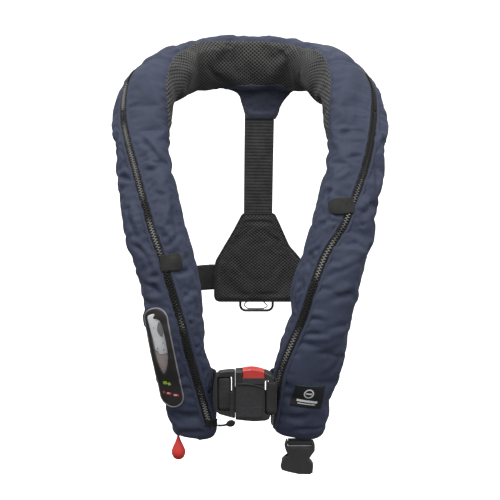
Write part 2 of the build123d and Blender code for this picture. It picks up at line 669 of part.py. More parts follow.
# ---------------------------------------------------------------- crotch-strap buckle
crotch_y = -236.0
crotch_pivot = (62.0, -236.0, -476.6)
CROTCH_OUTLINE = [(44.9, -473.2), (42.8, -480.4), (44.1, -485.2), (47.4, -493.0),
                  (43.3, -495.9), (39.7, -499.8), (39.1, -505.7), (38.0, -509.6),
                  (39.8, -513.1), (47.1, -515.6), (61.7, -519.0), (75.7, -519.2),
                  (79.4, -517.0), (80.2, -506.2), (78.3, -502.7), (74.1, -498.3),
                  (79.4, -490.1), (81.7, -486.6), (81.7, -478.9), (79.8, -474.5)]
with BuildPart() as crotch_buckle:
    prism_xz(CROTCH_OUTLINE, crotch_y + crotch_t / 2, crotch_y - crotch_t / 2)
    fillet(edges().group_by(Axis.Y)[0], 1.4)
    fillet(edges().group_by(Axis.Y)[-1], 1.4)
    # webbing opening with its bar
    with BuildSketch(Plane.XZ.offset(-crotch_y + 10)):
        with Locations((62.2, -476.6)):
            Rectangle(31.0, 14.0)
    extrude(amount=-20, mode=Mode.SUBTRACT)
    with BuildSketch(Plane.YZ.offset(45.6)):
        with Locations((crotch_pivot[1], crotch_pivot[2])):
            Circle(2.2)
    extrude(amount=33.5)
    # socket for the other half, open at the lower end
    with BuildSketch(Plane.XY.offset(-522.0)):
        with Locations((59.5, crotch_y)):
            Rectangle(30.0, 6.4)
    extrude(amount=33.0, mode=Mode.SUBTRACT)
with BuildPart() as crotch_loop:
    with BuildSketch(Plane.YZ.offset(62.2 - 15.0)):
        with Locations((crotch_pivot[1], crotch_pivot[2])):
            Circle(4.1)
        with Locations((crotch_pivot[1], crotch_pivot[2] + 2.8)):
            Rectangle(3.2, 2.4, align=(Align.CENTER, Align.MIN))
        with Locations((crotch_pivot[1], crotch_pivot[2])):
            Circle(2.5, mode=Mode.SUBTRACT)
    extrude(amount=30.0)

# ---------------------------------------------------------------- oral tube and whistle
oral_a = place(27.6, 4, 9.5)
oral_b = place(30.6, 0, 9.5)
oral_dir = (oral_b - oral_a).normalized()
oral_front = Vector(*STATIONS[29][1])
oral_front = (oral_front - oral_dir * oral_front.dot(oral_dir)).normalized()


def oral_plane(s):
    return Plane(origin=oral_a + oral_dir * s, x_dir=oral_front.cross(oral_dir), z_dir=oral_dir)


with BuildPart() as oral_tube:
    with BuildSketch(oral_plane(24)):
        Circle(4.6)
        Circle(3.4, mode=Mode.SUBTRACT)
    extrude(amount=74)
with BuildPart() as oral_mouthpiece:
    with BuildSketch(oral_plane(4)):
        Circle(6.6)
        Circle(4.0, mode=Mode.SUBTRACT)
    extrude(amount=19.9)
with BuildPart() as oral_valve:
    with BuildSketch(oral_plane(2)):
        Circle(3.6)
    extrude(amount=12)
with BuildPart() as oral_valve_spring:
    with BuildSketch(oral_plane(18.2)):
        Circle(3.4)
        Circle(2.6, mode=Mode.SUBTRACT)
    extrude(amount=5.0)
whistle_at = place(31.6, 2, 8.5)
w_t, w_n, w_w = axes(32)
with BuildPart() as whistle:
    with BuildSketch(Plane(origin=whistle_at, x_dir=w_w, z_dir=w_t)):
        RectangleRounded(14, 8, 2.0)
    extrude(amount=38)
    with BuildSketch(Plane(origin=whistle_at + w_t * 2, x_dir=w_w, z_dir=w_t)):
        Rectangle(10, 4.4)
    extrude(amount=40, mode=Mode.SUBTRACT)

PARTS = {
    "cover_front_left": cover_front_left, "cover_back_left": cover_back_left,
    "cover_collar": cover_collar, "collar_lining": collar_lining,
    "cover_front_right": cover_front_right, "cover_back_right": cover_back_right,
    "hem_left": hem_left, "hem_right": hem_right, "bladder": bladder,
    "inflator_body": inflator_body, "indicator": indicator,
    "firing_cartridge": firing_cartridge, "gas_cylinder": gas_cylinder,
    "manifold_nut": manifold_nut, "inflator_lever": inflator_lever, "lever_pin": lever_pin,
    "pull_handle": pull_handle, "pull_lanyard": pull_lanyard,
    "inspection_panel": inspection_panel, "panel_piping": panel_piping,
    "panel_window": panel_window,
    "zip_tape_left": zip_tape_left, "zip_tape_collar": zip_tape_collar,
    "zip_tape_right": zip_tape_right, "zip_teeth_left": zip_teeth_left,
    "zip_teeth_collar": zip_teeth_collar, "zip_teeth_right": zip_teeth_right,
    "zip_garage": zip_garage, "zip_slider": zip_slider, "zip_pull": zip_pull,
    "tab_left": tab_left, "tab_right": tab_right, "patch": patch,
    "yoke_flap": yoke_flap, "back_strap": back_strap, "back_pad": back_pad,
    "belt_back": belt_back, "belt_left": belt_left, "belt_left_end": belt_left_end,
    "belt_loop_left": belt_loop_left, "belt_right": belt_right,
    "belt_right_end": belt_right_end, "belt_loop_right": belt_loop_right,
    "wire_ring": wire_ring, "ring_link": ring_link, "ring_loop": ring_loop,
    "buckle_tongue": buckle_tongue, "buckle_socket": buckle_socket,
    "release_button": release_button, "button_spring": button_spring,
    "crotch_buckle": crotch_buckle, "crotch_loop": crotch_loop,
    "oral_tube": oral_tube, "oral_mouthpiece": oral_mouthpiece, "oral_valve": oral_valve,
    "oral_valve_spring": oral_valve_spring, "whistle": whistle,
}
for name, block in PARTS.items():
    block.part.label = name
    export_step(block.part, f"parts/{name}.step")
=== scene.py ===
import bpy
import bmesh
import math
import random
import numpy as np
from mathutils import Vector, Matrix
from mathutils.bvhtree import BVHTree


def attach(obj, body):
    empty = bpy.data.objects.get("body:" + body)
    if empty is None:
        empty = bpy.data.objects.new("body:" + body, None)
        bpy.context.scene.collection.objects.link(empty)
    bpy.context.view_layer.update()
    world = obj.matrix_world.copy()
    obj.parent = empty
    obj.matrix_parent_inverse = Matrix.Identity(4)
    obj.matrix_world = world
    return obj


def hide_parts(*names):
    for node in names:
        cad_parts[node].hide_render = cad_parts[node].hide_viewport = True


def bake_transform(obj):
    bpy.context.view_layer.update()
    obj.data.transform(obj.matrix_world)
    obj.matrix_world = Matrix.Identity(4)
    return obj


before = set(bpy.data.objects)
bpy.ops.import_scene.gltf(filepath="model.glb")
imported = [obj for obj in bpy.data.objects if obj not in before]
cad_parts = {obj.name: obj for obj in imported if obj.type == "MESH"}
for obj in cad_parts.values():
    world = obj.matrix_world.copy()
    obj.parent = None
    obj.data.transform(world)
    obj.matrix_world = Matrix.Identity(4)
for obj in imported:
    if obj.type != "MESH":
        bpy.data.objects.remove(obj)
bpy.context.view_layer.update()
scene = bpy.context.scene
rng = np.random.default_rng(11)
MM = 0.001

# ------------------------------------------------------------------ camera
cam_data = bpy.data.cameras.new("camera")
cam = bpy.data.objects.new("camera", cam_data)
scene.collection.objects.link(cam)
cam.location = (-0.001442, -1.229553, -0.012913)
cam.rotation_euler = (math.radians(78), 0, 0)
cam_data.sensor_width = 36
cam_data.lens = 832 / 500 * 36
cam_data.clip_end = 50
scene.camera = cam
scene.view_settings.view_transform = "Standard"
scene.view_settings.look = "None"

# ------------------------------------------------------------------ the horseshoe's sections (mm)
STATIONS = [
    ((-72.9, -236.0, -456.7), (-0.152, -0.988, -0.023), 28.2, 13.0),
    ((-76.2, -236.0, -435.0), (-0.149, -0.989, -0.024), 30.2, 14.5),
    ((-80.1, -236.0, -411.9), (-0.146, -0.989, -0.017), 31.8, 16.5),
    ((-84.6, -235.6, -385.2), (-0.145, -0.989, 0.009), 34.0, 19.0),
    ((-91.6, -233.8, -352.9), (-0.150, -0.987, 0.057), 35.7, 23.0),
    ((-96.7, -229.9, -317.5), (-0.153, -0.981, 0.120), 37.0, 25.0),
    ((-101.3, -223.4, -280.4), (-0.153, -0.971, 0.186), 36.5, 25.0),
    ((-110.5, -213.6, -244.3), (-0.167, -0.947, 0.275), 37.3, 25.0),
    ((-121.6, -199.0, -208.8), (-0.182, -0.912, 0.368), 37.9, 24.0),
    ((-130.5, -181.0, -173.4), (-0.183, -0.872, 0.455), 36.7, 22.0),
    ((-137.2, -158.6, -137.7), (-0.173, -0.838, 0.518), 36.2, 21.6),
    ((-141.8, -137.1, -106.1), (-0.162, -0.798, 0.581), 36.5, 21.3),
    ((-144.5, -110.0, -73.0), (-0.311, -0.707, 0.635), 41.5, 23.0),
    ((-139.0, -78.0, -39.0), (-0.474, -0.473, 0.743), 43.0, 28.0),
    ((-123.0, -42.0, -16.0), (-0.558, -0.055, 0.828), 44.0, 29.0),
    ((-98.0, -13.0, -7.0), (-0.533, 0.438, 0.724), 41.0, 26.0),
    ((-64.0, 5.0, -1.0), (-0.375, 0.811, 0.450), 38.5, 21.0),
    ((-30.0, 14.0, 1.0), (-0.162, 0.919, 0.359), 38.5, 18.5),
    ((0.0, 15.5, 1.0), (0.000, 0.954, 0.301), 38.0, 18.0),
    ((30.0, 14.0, 1.0), (0.162, 0.919, 0.359), 38.5, 18.5),
    ((64.0, 5.0, -1.0), (0.384, 0.807, 0.449), 38.5, 21.0),
    ((96.0, -13.0, -7.0), (0.562, 0.414, 0.716), 41.0, 27.0),
    ((119.0, -42.0, -17.0), (0.581, -0.095, 0.808), 45.0, 30.0),
    ((134.0, -78.0, -42.0), (0.477, -0.485, 0.733), 45.0, 28.0),
    ((139.0, -110.0, -75.0), (0.310, -0.689, 0.655), 44.0, 24.0),
    ((138.0, -137.1, -106.1), (0.160, -0.787, 0.596), 39.0, 21.3),
    ((133.2, -158.6, -137.7), (0.178, -0.840, 0.512), 38.1, 21.6),
    ((124.1, -181.0, -173.4), (0.186, -0.874, 0.450), 37.9, 22.0),
    ((115.6, -199.0, -208.9), (0.181, -0.911, 0.370), 39.3, 22.3),
    ((104.7, -213.6, -244.3), (0.167, -0.948, 0.272), 39.4, 22.6),
    ((93.7, -223.4, -280.4), (0.151, -0.972, 0.177), 41.4, 22.9),
    ((86.4, -229.9, -317.5), (0.148, -0.983, 0.108), 39.9, 22.6),
    ((77.7, -233.8, -353.0), (0.146, -0.988, 0.050), 41.4, 22.2),
    ((70.7, -235.6, -385.2), (0.145, -0.989, 0.008), 40.6, 20.3),
    ((65.7, -236.0, -411.9), (0.149, -0.989, -0.013), 37.1, 17.5),
    ((63.8, -236.0, -435.0), (0.153, -0.988, -0.016), 36.4, 15.0),
    ((60.9, -236.0, -456.7), (0.153, -0.988, -0.020), 34.5, 13.0),
]
ZIP_ANGLE = [2.42, 2.28, 2.195, 2.09, 2.035, 1.94, 1.76, 1.69, 1.62, 1.55, 1.42, 1.22, 1.18,
             1.20, 1.10, 0.95, 0.82, 0.75, 0.75, 0.78, 0.90, 1.10, 1.28, 1.20, 1.25, 1.27,
             1.408, 1.544, 1.70, 2.01, 2.09, 2.276, 2.47, 2.69, 2.81, 2.93, 3.05]
EXPONENT = 0.85
SC = np.array([s[0] for s in STATIONS], float)
SN = np.array([s[1] for s in STATIONS], float)
SA = np.array([[s[2], s[3]] for s in STATIONS], float)
SZ = np.array(ZIP_ANGLE, float)[:, None]


def cr(table, t):
    """Catmull-Rom value of a table at fractional stations."""
    t = np.clip(np.asarray(t, float), 0, len(table) - 1)
    i = np.minimum(t.astype(int), len(table) - 2)
    f = (t - i)[..., None]
    g = lambda k: table[np.clip(k, 0, len(table) - 1)]
    p0, p1, p2, p3 = g(i - 1), g(i), g(i + 1), g(i + 2)
    return 0.5 * (2 * p1 + (p2 - p0) * f + (2 * p0 - 5 * p1 + 4 * p2 - p3) * f ** 2
                  + (3 * p1 - p0 - 3 * p2 + p3) * f ** 3)


def unit(v):
    return v / np.maximum(np.linalg.norm(v, axis=-1, keepdims=True), 1e-9)


def section_axes(t):
    h = 0.02
    tan = unit(cr(SC, np.asarray(t) + h) - cr(SC, np.asarray(t) - h))
    n = cr(SN, t)
    n = unit(n - tan * (n * tan).sum(-1, keepdims=True))
    return tan, n, np.cross(n, tan)


def surf(t, th, lift=0.0, beyond=0.0, ka=1.0, kb=1.0):
    """Points and outward normals of the padded section, in mm."""
    t, th = np.broadcast_arrays(np.asarray(t, float), np.asarray(th, float))
    c = cr(SC, t)
    tan, n, w = section_axes(t)
    ab = cr(SA, t) * np.stack([np.broadcast_to(ka, t.shape), np.broadcast_to(kb, t.shape)], -1)
    a, b = ab[..., 0], ab[..., 1]
    co, si = np.cos(th), np.sin(th)
    # the collar's inner corners droop, and the lobes' ends are fuller beside the neck
    b = b + np.where(si < 0, 12.5 * np.exp(-((t - 14.3) / 0.95) ** 2) + 13.5 * np.exp(-((t - 21.7) / 0.95) ** 2), 0.0)
    a = a * (1 + np.where(co < 0, 0.08 * np.exp(-(t / 2.4) ** 2) + 0.02 * np.exp(-((36 - t) / 1.2) ** 2)
                      + 0.085 * np.exp(-((t - 18.0) / 3.0) ** 4), 0.0))
    u = np.sign(co) * np.abs(co) ** EXPONENT * a
    v = np.sign(si) * np.abs(si) ** EXPONENT * b
    k = 2 / EXPONENT - 1
    nu = np.sign(u) * np.abs(u / a) ** k / a
    nv = np.sign(v) * np.abs(v / b) ** k / b
    nrm = unit(w * nu[..., None] + n * nv[..., None])
    p = c + w * u[..., None] + n * v[..., None] + nrm * np.asarray(lift)[..., None]
    # the lobes' closed ends are cut on a slant
    slant = np.where(t < 18, -0.42, 0.16) * u / a
    out = np.broadcast_to(beyond, t.shape)
    p = p + tan * (out * (1 + slant * (1 if np.ndim(out) else 0)))[..., None]
    return p, nrm, tan


def zip_at(t):
    return cr(SZ, t)[..., 0]


LINING_EDGE = np.array([(11.2, 3.10), (11.6, 2.99), (12.17, 2.846), (12.8, 2.72), (13.5, 2.65), (14.1, 2.75),
                        (14.67, 2.955), (15.2, 3.03), (15.58, 3.10), (15.92, 3.32), (16.25, 3.47), (16.92, 3.62),
                        (17.83, 3.68), (18.58, 3.68), (19.25, 3.69), (19.67, 3.68), (20.25, 3.54), (20.7, 3.24),
                        (21.33, 2.955), (21.9, 2.75), (22.5, 2.65), (23.2, 2.72), (23.83, 2.846), (24.4, 2.99),
                        (24.8, 3.10)])
T_LINING = 11.2


def lining_edge(t):
    t = np.asarray(t, float)
    v = (np.interp(t, LINING_EDGE[:, 0], LINING_EDGE[:, 1]) * 2 + np.interp(t - 0.12, LINING_EDGE[:, 0], LINING_EDGE[:, 1])
         + np.interp(t + 0.12, LINING_EDGE[:, 0], LINING_EDGE[:, 1])) / 4
    return np.maximum(v, zip_at(t) + 0.035)


# ------------------------------------------------------------------ mesh helpers
def new_mesh(name, verts, faces, smooth=True, weave=None):
    me = bpy.data.meshes.new(name)
    me.from_pydata([tuple(v) for v in np.asarray(verts, float) * MM], [], [tuple(int(i) for i in f) for f in faces])
    me.validate()
    if smooth:
        me.polygons.foreach_set("use_smooth", np.ones(len(me.polygons), bool))
    if weave is not None:
        a = me.attributes.new("weave", "FLOAT_VECTOR", "POINT")
        a.data.foreach_set("vector", np.asarray(weave, np.float32).ravel())
    me.update()
    ob = bpy.data.objects.new(name, me)
    scene.collection.objects.link(ob)
    return ob


def grid_faces(nr, nc, wrap=False, start=0):
    out = []
    cols = nc if wrap else nc - 1
    for i in range(nr - 1):
        for j in range(cols):
            k = (j + 1) % nc
            out.append((start + i * nc + j, start + i * nc + k, start + (i + 1) * nc + k, start + (i + 1) * nc + j))
    return out


def apply_modifiers(ob):
    dg = bpy.context.evaluated_depsgraph_get()
    me = bpy.data.meshes.new_from_object(ob.evaluated_get(dg), preserve_all_data_layers=True, depsgraph=dg)
    old = ob.data
    ob.modifiers.clear()
    ob.data = me
    bpy.data.meshes.remove(old)
    return ob


def coords(me):
    a = np.empty(len(me.vertices) * 3, np.float32)
    me.vertices.foreach_get("co", a)
    return a.reshape(-1, 3).astype(float)


def set_coords(me, co):
    me.vertices.foreach_set("co", np.asarray(co, np.float32).ravel())
    me.update()


def subdivide(ob, levels=1):
    m = ob.modifiers.new("sub", "SUBSURF")
    m.levels = m.render_levels = levels
    m.boundary_smooth = "PRESERVE_CORNERS"
    return apply_modifiers(ob)


def fix_normals(ob):
    bm = bmesh.new()
    bm.from_mesh(ob.data)
    bmesh.ops.recalc_face_normals(bm, faces=bm.faces)
    bm.to_mesh(ob.data)
    bm.free()
    return ob


def cloth(ob, pins, pressure=2.0, grow=0.05, frames=16, cap=5.0, stiff=12.0, bend=0.4, base=0.02):
    """Runs a pressure cloth simulation, keeps the moves under a cap in mm and applies it."""
    me = ob.data
    rest = coords(me)
    vg = ob.vertex_groups.new(name="pin")
    q = np.clip(np.round(np.maximum(pins, base) * 50) / 50, 0, 1)
    for level in np.unique(q):
        vg.add([int(i) for i in np.nonzero(q == level)[0]], float(level), "REPLACE")
    md = ob.modifiers.new("cloth", "CLOTH")
    s = md.settings
    s.quality = 5
    s.mass = 0.12
    s.tension_stiffness = s.compression_stiffness = stiff
    s.shear_stiffness = stiff * 0.4
    s.bending_stiffness = bend
    s.tension_damping = s.compression_damping = 8
    s.air_damping = 3
    s.use_pressure = True
    s.uniform_pressure_force = pressure
    s.vertex_group_mass = "pin"
    s.pin_stiffness = 1.0
    s.shrink_min = -grow
    s.effector_weights.gravity = 0
    md.collision_settings.use_collision = False
    md.collision_settings.use_self_collision = False
    md.point_cache.frame_start = 1
    md.point_cache.frame_end = frames + 2
    for f in range(1, frames + 1):
        scene.frame_set(f)
    apply_modifiers(ob)
    co = coords(ob.data)
    d = co - rest
    ln = np.linalg.norm(d, axis=1, keepdims=True)
    ok = np.isfinite(ln)
    d = np.where(ok, d, 0)
    ln = np.where(ok, ln, 0)
    lim = cap * MM
    soft = lim * np.tanh(ln / lim)
    d = d * np.where(ln > 1e-9, soft / np.maximum(ln, 1e-9), 0)
    set_coords(ob.data, rest + d)
    scene.frame_set(1)
    ob.vertex_groups.clear()
    return ob


# ------------------------------------------------------------------ materials
def tree(name):
    m = bpy.data.materials.new(name)
    m.use_nodes = True
    nt = m.node_tree
    b = nt.nodes["Principled BSDF"]
    return m, nt, b


def node(nt, kind, **props):
    n = nt.nodes.new(kind)
    for k, v in props.items():
        setattr(n, k, v)
    return n


def math_node(nt, op, a, b=None, clamp=False):
    n = nt.nodes.new("ShaderNodeMath")
    n.operation = op
    n.use_clamp = clamp
    for i, v in enumerate((a, b)):
        if v is None:
            continue
        if isinstance(v, (int, float)):
            n.inputs[i].default_value = v
        else:
            nt.links.new(v, n.inputs[i])
    return n.outputs[0]


def ramp(nt, fac, stops):
    n = nt.nodes.new("ShaderNodeValToRGB")
    e = n.color_ramp.elements
    while len(e) < len(stops):
        e.new(0.5)
    for k, (pos, col) in enumerate(stops):
        e[k].position = pos
        e[k].color = (*col, 1)
    nt.links.new(fac, n.inputs[0])
    return n.outputs[0]


def noise_out(nt, vec, scale, detail=3, rough=0.55, distortion=0.0):
    n = nt.nodes.new("ShaderNodeTexNoise")
    n.inputs["Scale"].default_value = scale
    n.inputs["Detail"].default_value = detail
    n.inputs["Roughness"].default_value = rough
    n.inputs["Distortion"].default_value = distortion
    nt.links.new(vec, n.inputs["Vector"])
    return n.outputs["Fac"]


def obj_vec(nt):
    return nt.nodes.new("ShaderNodeTexCoord").outputs["Object"]


def weave_vec(nt):
    n = nt.nodes.new("ShaderNodeAttribute")
    n.attribute_name = "weave"
    return n.outputs["Vector"]


def wave_of(nt, comp, pitch, phase=0.0):
    a = math_node(nt, "MULTIPLY", comp, 2 * math.pi / pitch)
    if phase:
        a = math_node(nt, "ADD", a, phase)
    return math_node(nt, "SINE", a)


def bump(nt, height, dist, strength=1.0, normal=None):
    n = nt.nodes.new("ShaderNodeBump")
    n.inputs["Distance"].default_value = dist
    n.inputs["Strength"].default_value = strength
    nt.links.new(height, n.inputs["Height"])
    if normal is not None:
        nt.links.new(normal, n.inputs["Normal"])
    return n.outputs["Normal"]


def mix_col(nt, fac, a, b):
    n = nt.nodes.new("ShaderNodeMix")
    n.data_type = "RGBA"
    for sock, v in ((n.inputs[0], fac), (n.inputs[6], a), (n.inputs[7], b)):
        if isinstance(v, (tuple, list)):
            sock.default_value = (*v, 1)
        elif isinstance(v, (int, float)):
            sock.default_value = v
        else:
            nt.links.new(v, sock)
    return n.outputs[2]


def nylon(name, dark, light, rough=0.58, sheen=0.12):
    """Coated plain-weave nylon: fine crossed threads, small crumples, uneven tone."""
    m, nt, b = tree(name)
    vec = obj_vec(nt)
    wv = weave_vec(nt)
    sep = nt.nodes.new("ShaderNodeSeparateXYZ")
    nt.links.new(wv, sep.inputs[0])
    big = noise_out(nt, vec, 14, 3, 0.6)
    fine = noise_out(nt, vec, 260, 2, 0.5)
    tone = math_node(nt, "ADD", math_node(nt, "MULTIPLY", big, 0.75), math_node(nt, "MULTIPLY", fine, 0.25))
    col = ramp(nt, tone, [(0.30, dark), (0.70, light)])
    wx = wave_of(nt, sep.outputs[0], 0.9)
    wy = wave_of(nt, sep.outputs[1], 0.9)
    threads = math_node(nt, "MULTIPLY", wx, wy)
    shade = math_node(nt, "MULTIPLY_ADD", threads, 0.06)
    shade.node.inputs[2].default_value = 0.97
    hue = nt.nodes.new("ShaderNodeHueSaturation")
    nt.links.new(col, hue.inputs["Color"])
    nt.links.new(shade, hue.inputs["Value"])
    nt.links.new(hue.outputs[0], b.inputs["Base Color"])
    b.inputs["Roughness"].default_value = rough
    b.inputs["Specular IOR Level"].default_value = 0.4
    b.inputs["Sheen Weight"].default_value = sheen
    b.inputs["Sheen Roughness"].default_value = 0.45
    b.inputs["Sheen Tint"].default_value = (0.75, 0.82, 1.0, 1)
    n0 = bump(nt, noise_out(nt, vec, 20, 2, 0.45, 0.8), 0.0040, 0.38)
    n1 = bump(nt, noise_out(nt, vec, 120, 3, 0.5, 0.6), 0.0007, 0.35, n0)
    n2 = bump(nt, threads, 0.00012, 0.6, n1)
    nt.links.new(n2, b.inputs["Normal"])
    return m


def mesh_cloth(name, hole, knit, pitch=3.4, rough=0.8, depth=0.0005):
    """Knitted spacer mesh: a lattice of small holes between raised threads."""
    m, nt, b = tree(name)
    wv = weave_vec(nt)
    vec = obj_vec(nt)
    sep = nt.nodes.new("ShaderNodeSeparateXYZ")
    nt.links.new(wv, sep.inputs[0])
    wx = wave_of(nt, sep.outputs[0], pitch)
    wy = wave_of(nt, sep.outputs[1], pitch * 0.86, 0.6)
    both = math_node(nt, "MULTIPLY", wx, wy)
    fac = math_node(nt, "MULTIPLY_ADD", both, 0.5)
    fac.node.inputs[2].default_value = 0.5
    n = noise_out(nt, vec, 30, 2)
    fac2 = math_node(nt, "ADD", fac, math_node(nt, "MULTIPLY", math_node(nt, "SUBTRACT", n, 0.5), 0.35), True)
    col = ramp(nt, fac2, [(0.22, hole), (0.62, knit)])
    nt.links.new(col, b.inputs["Base Color"])
    b.inputs["Roughness"].default_value = rough
    b.inputs["Specular IOR Level"].default_value = 0.3
    b.inputs["Sheen Weight"].default_value = 0.12
    b.inputs["Sheen Roughness"].default_value = 0.5
    n1 = bump(nt, noise_out(nt, vec, 35, 3), 0.0016, 0.4)
    nt.links.new(bump(nt, fac, depth, 0.9, n1), b.inputs["Normal"])
    return m


def web_mat(name, dark, light, pitch=1.3, rough=0.72):
    """Ribbed webbing: fine twill across its width over the ribs made in the mesh."""
    m, nt, b = tree(name)
    wv = weave_vec(nt)
    vec = obj_vec(nt)
    sep = nt.nodes.new("ShaderNodeSeparateXYZ")
    nt.links.new(wv, sep.inputs[0])
    a = math_node(nt, "ADD", sep.outputs[0], sep.outputs[1])
    tw = wave_of(nt, a, pitch)
    tv = wave_of(nt, sep.outputs[1], pitch * 0.8)
    h = math_node(nt, "ADD", math_node(nt, "MULTIPLY", tw, 0.6), math_node(nt, "MULTIPLY", tv, 0.4))
    n = noise_out(nt, vec, 60, 3)
    f = math_node(nt, "MULTIPLY_ADD", h, 0.22)
    nt.links.new(n, f.node.inputs[2])
    nt.links.new(ramp(nt, f, [(0.3, dark), (0.75, light)]), b.inputs["Base Color"])
    b.inputs["Roughness"].default_value = rough
    b.inputs["Specular IOR Level"].default_value = 0.35
    b.inputs["Sheen Weight"].default_value = 0.1
    nt.links.new(bump(nt, h, 0.00025, 0.6), b.inputs["Normal"])
    return m


def plastic(name, col, rough=0.38, grain=900, depth=0.00008, coat=0.0, spec=0.5, vary=0.12, wear=None):
    """Moulded plastic with a fine spark-eroded grain, slight tone changes and worn edges."""
    m, nt, b = tree(name)
    vec = obj_vec(nt)
    n = noise_out(nt, vec, 45, 3)
    lo = tuple(c * (1 - vary) for c in col)
    hi = tuple(min(1, c * (1 + vary)) for c in col)
    c = ramp(nt, n, [(0.3, lo), (0.7, hi)])
    geo = nt.nodes.new("ShaderNodeNewGeometry")
    edge = math_node(nt, "SUBTRACT", geo.outputs["Pointiness"], 0.515)
    edge = math_node(nt, "MULTIPLY", edge, 14, True)
    edge = math_node(nt, "MULTIPLY", edge, noise_out(nt, vec, 220, 3), True)
    c = mix_col(nt, edge, c, wear or tuple(min(1, k * 1.7 + 0.01) for k in col))
    nt.links.new(c, b.inputs["Base Color"])
    r = nt.nodes.new("ShaderNodeMapRange")
    nt.links.new(noise_out(nt, vec, 120, 4), r.inputs[0])
    r.inputs[3].default_value = rough - 0.06
    r.inputs[4].default_value = rough + 0.08
    nt.links.new(r.outputs[0], b.inputs["Roughness"])
    b.inputs["Specular IOR Level"].default_value = spec
    b.inputs["Coat Weight"].default_value = coat
    nt.links.new(bump(nt, noise_out(nt, vec, grain, 2), depth, 0.5), b.inputs["Normal"])
    return m


def metal(name, col, rough=0.32):
    m, nt, b = tree(name)
    vec = obj_vec(nt)
    n = noise_out(nt, vec, 300, 3)
    nt.links.new(ramp(nt, n, [(0.3, tuple(c * 0.8 for c in col)), (0.7, col)]), b.inputs["Base Color"])
    b.inputs["Metallic"].default_value = 1.0
    r = nt.nodes.new("ShaderNodeMapRange")
    nt.links.new(noise_out(nt, vec, 500, 3), r.inputs[0])
    r.inputs[3].default_value = rough - 0.08
    r.inputs[4].default_value = rough + 0.12
    nt.links.new(r.outputs[0], b.inputs["Roughness"])
    nt.links.new(bump(nt, noise_out(nt, vec, 900, 2), 0.00004, 0.5), b.inputs["Normal"])
    return m


def film(name):
    m, nt, b = tree(name)
    b.inputs["Base Color"].default_value = (0.9, 0.93, 0.95, 1)
    b.inputs["Roughness"].default_value = 0.12
    b.inputs["Alpha"].default_value = 0.16
    b.inputs["Specular IOR Level"].default_value = 0.8
    nt.links.new(bump(nt, noise_out(nt, obj_vec(nt), 60, 2), 0.0008, 0.3), b.inputs["Normal"])
    m.surface_render_method = "DITHERED"
    return m


def teeth_mat(name):
    """Moulded teeth: black, with painted glints: light grey noise stretches stand in for highlights."""
    m, nt, b = tree(name)
    vec = obj_vec(nt)
    # painted highlight: the ramp's light grey stop paints glints along some stretches of the teeth
    f = noise_out(nt, vec, 17, 1, 0.4)
    g = noise_out(nt, vec, 700, 1, 0.5)
    f = math_node(nt, "ADD", f, math_node(nt, "MULTIPLY", math_node(nt, "SUBTRACT", g, 0.5), 0.25))
    nt.links.new(ramp(nt, f, [(0.50, (0.020, 0.020, 0.018)), (0.60, (0.30, 0.30, 0.28))]), b.inputs["Base Color"])
    b.inputs["Roughness"].default_value = 0.2
    b.inputs["Specular IOR Level"].default_value = 0.8
    b.inputs["Coat Weight"].default_value = 0.4
    nt.links.new(bump(nt, noise_out(nt, vec, 800, 2), 0.00006, 0.4), b.inputs["Normal"])
    return m


M = {
    "cover": nylon("navy_nylon", (0.042, 0.052, 0.098), (0.066, 0.080, 0.136)),
    "yoke": nylon("navy_nylon_yoke", (0.062, 0.072, 0.112), (0.086, 0.100, 0.150)),
    "lining": mesh_cloth("black_spacer_mesh", (0.008, 0.008, 0.008), (0.135, 0.135, 0.131), 5.9, depth=0.0008),
    "pad": mesh_cloth("black_pad_mesh", (0.008, 0.008, 0.008), (0.110, 0.110, 0.110), 5.6, depth=0.0008),
    "web": web_mat("black_webbing", (0.036, 0.036, 0.036), (0.074, 0.074, 0.074)),
    "strap": web_mat("grey_black_webbing", (0.060, 0.060, 0.061), (0.112, 0.112, 0.113)),
    "tape": web_mat("zip_tape", (0.010, 0.010, 0.010), (0.026, 0.026, 0.024), 0.9),
    "teeth": teeth_mat("zip_teeth"),
    "tab": web_mat("olive_black_tab", (0.022, 0.023, 0.020), (0.050, 0.051, 0.045), 1.0),
    "black": plastic("black_acetal", (0.046, 0.046, 0.048), 0.36),
    "black_soft": plastic("black_moulding", (0.060, 0.060, 0.061), 0.46),
    "panel": plastic("black_panel_film", (0.036, 0.033, 0.032), 0.36, grain=500),
    "piping": plastic("grey_piping", (0.27, 0.27, 0.28), 0.45, grain=700, vary=0.4),
    "red": plastic("red_moulding", (1.0, 0.060, 0.048), 0.34, coat=0.25, wear=(0.80, 0.12, 0.1)),
    "red_cord": plastic("red_cord", (0.65, 0.05, 0.045), 0.7),
    "inflator": plastic("light_grey_moulding", (0.97, 0.99, 1.0), 0.3),
    "screw": plastic("screw_grey", (0.20, 0.22, 0.24), 0.35),
    "indicator": plastic("dark_lens", (0.10, 0.10, 0.105), 0.2, coat=0.5),
    "warm": plastic("warm_grey_moulding", (0.34, 0.27, 0.245), 0.5),
    "cylinder": plastic("cylinder_paint", (0.42, 0.41, 0.42), 0.35, coat=0.2),
    "bladder": nylon("bladder_nylon", (0.40, 0.30, 0.265), (0.66, 0.53, 0.48)),
    "steel": metal("steel_wire", (0.14, 0.14, 0.145), 0.42),
    "film": film("clear_film"),
    "green": plastic("green_print", (0.42, 0.72, 0.05), 0.5),
    "red_print": plastic("red_print", (0.55, 0.05, 0.04), 0.5),
    "white_print": plastic("white_print", (0.95, 0.95, 0.95), 0.55),
    "patch": plastic("patch_black", (0.016, 0.018, 0.019), 0.5),
    "thread": plastic("navy_thread", (0.050, 0.058, 0.095), 0.75),
    "black_thread": plastic("black_thread", (0.022, 0.022, 0.022), 0.75),
    "whistle": plastic("orange_whistle", (0.75, 0.2, 0.03), 0.35),
}


def paint(ob, key):
    ob.data.materials.clear()
    ob.data.materials.append(M[key])
    return ob


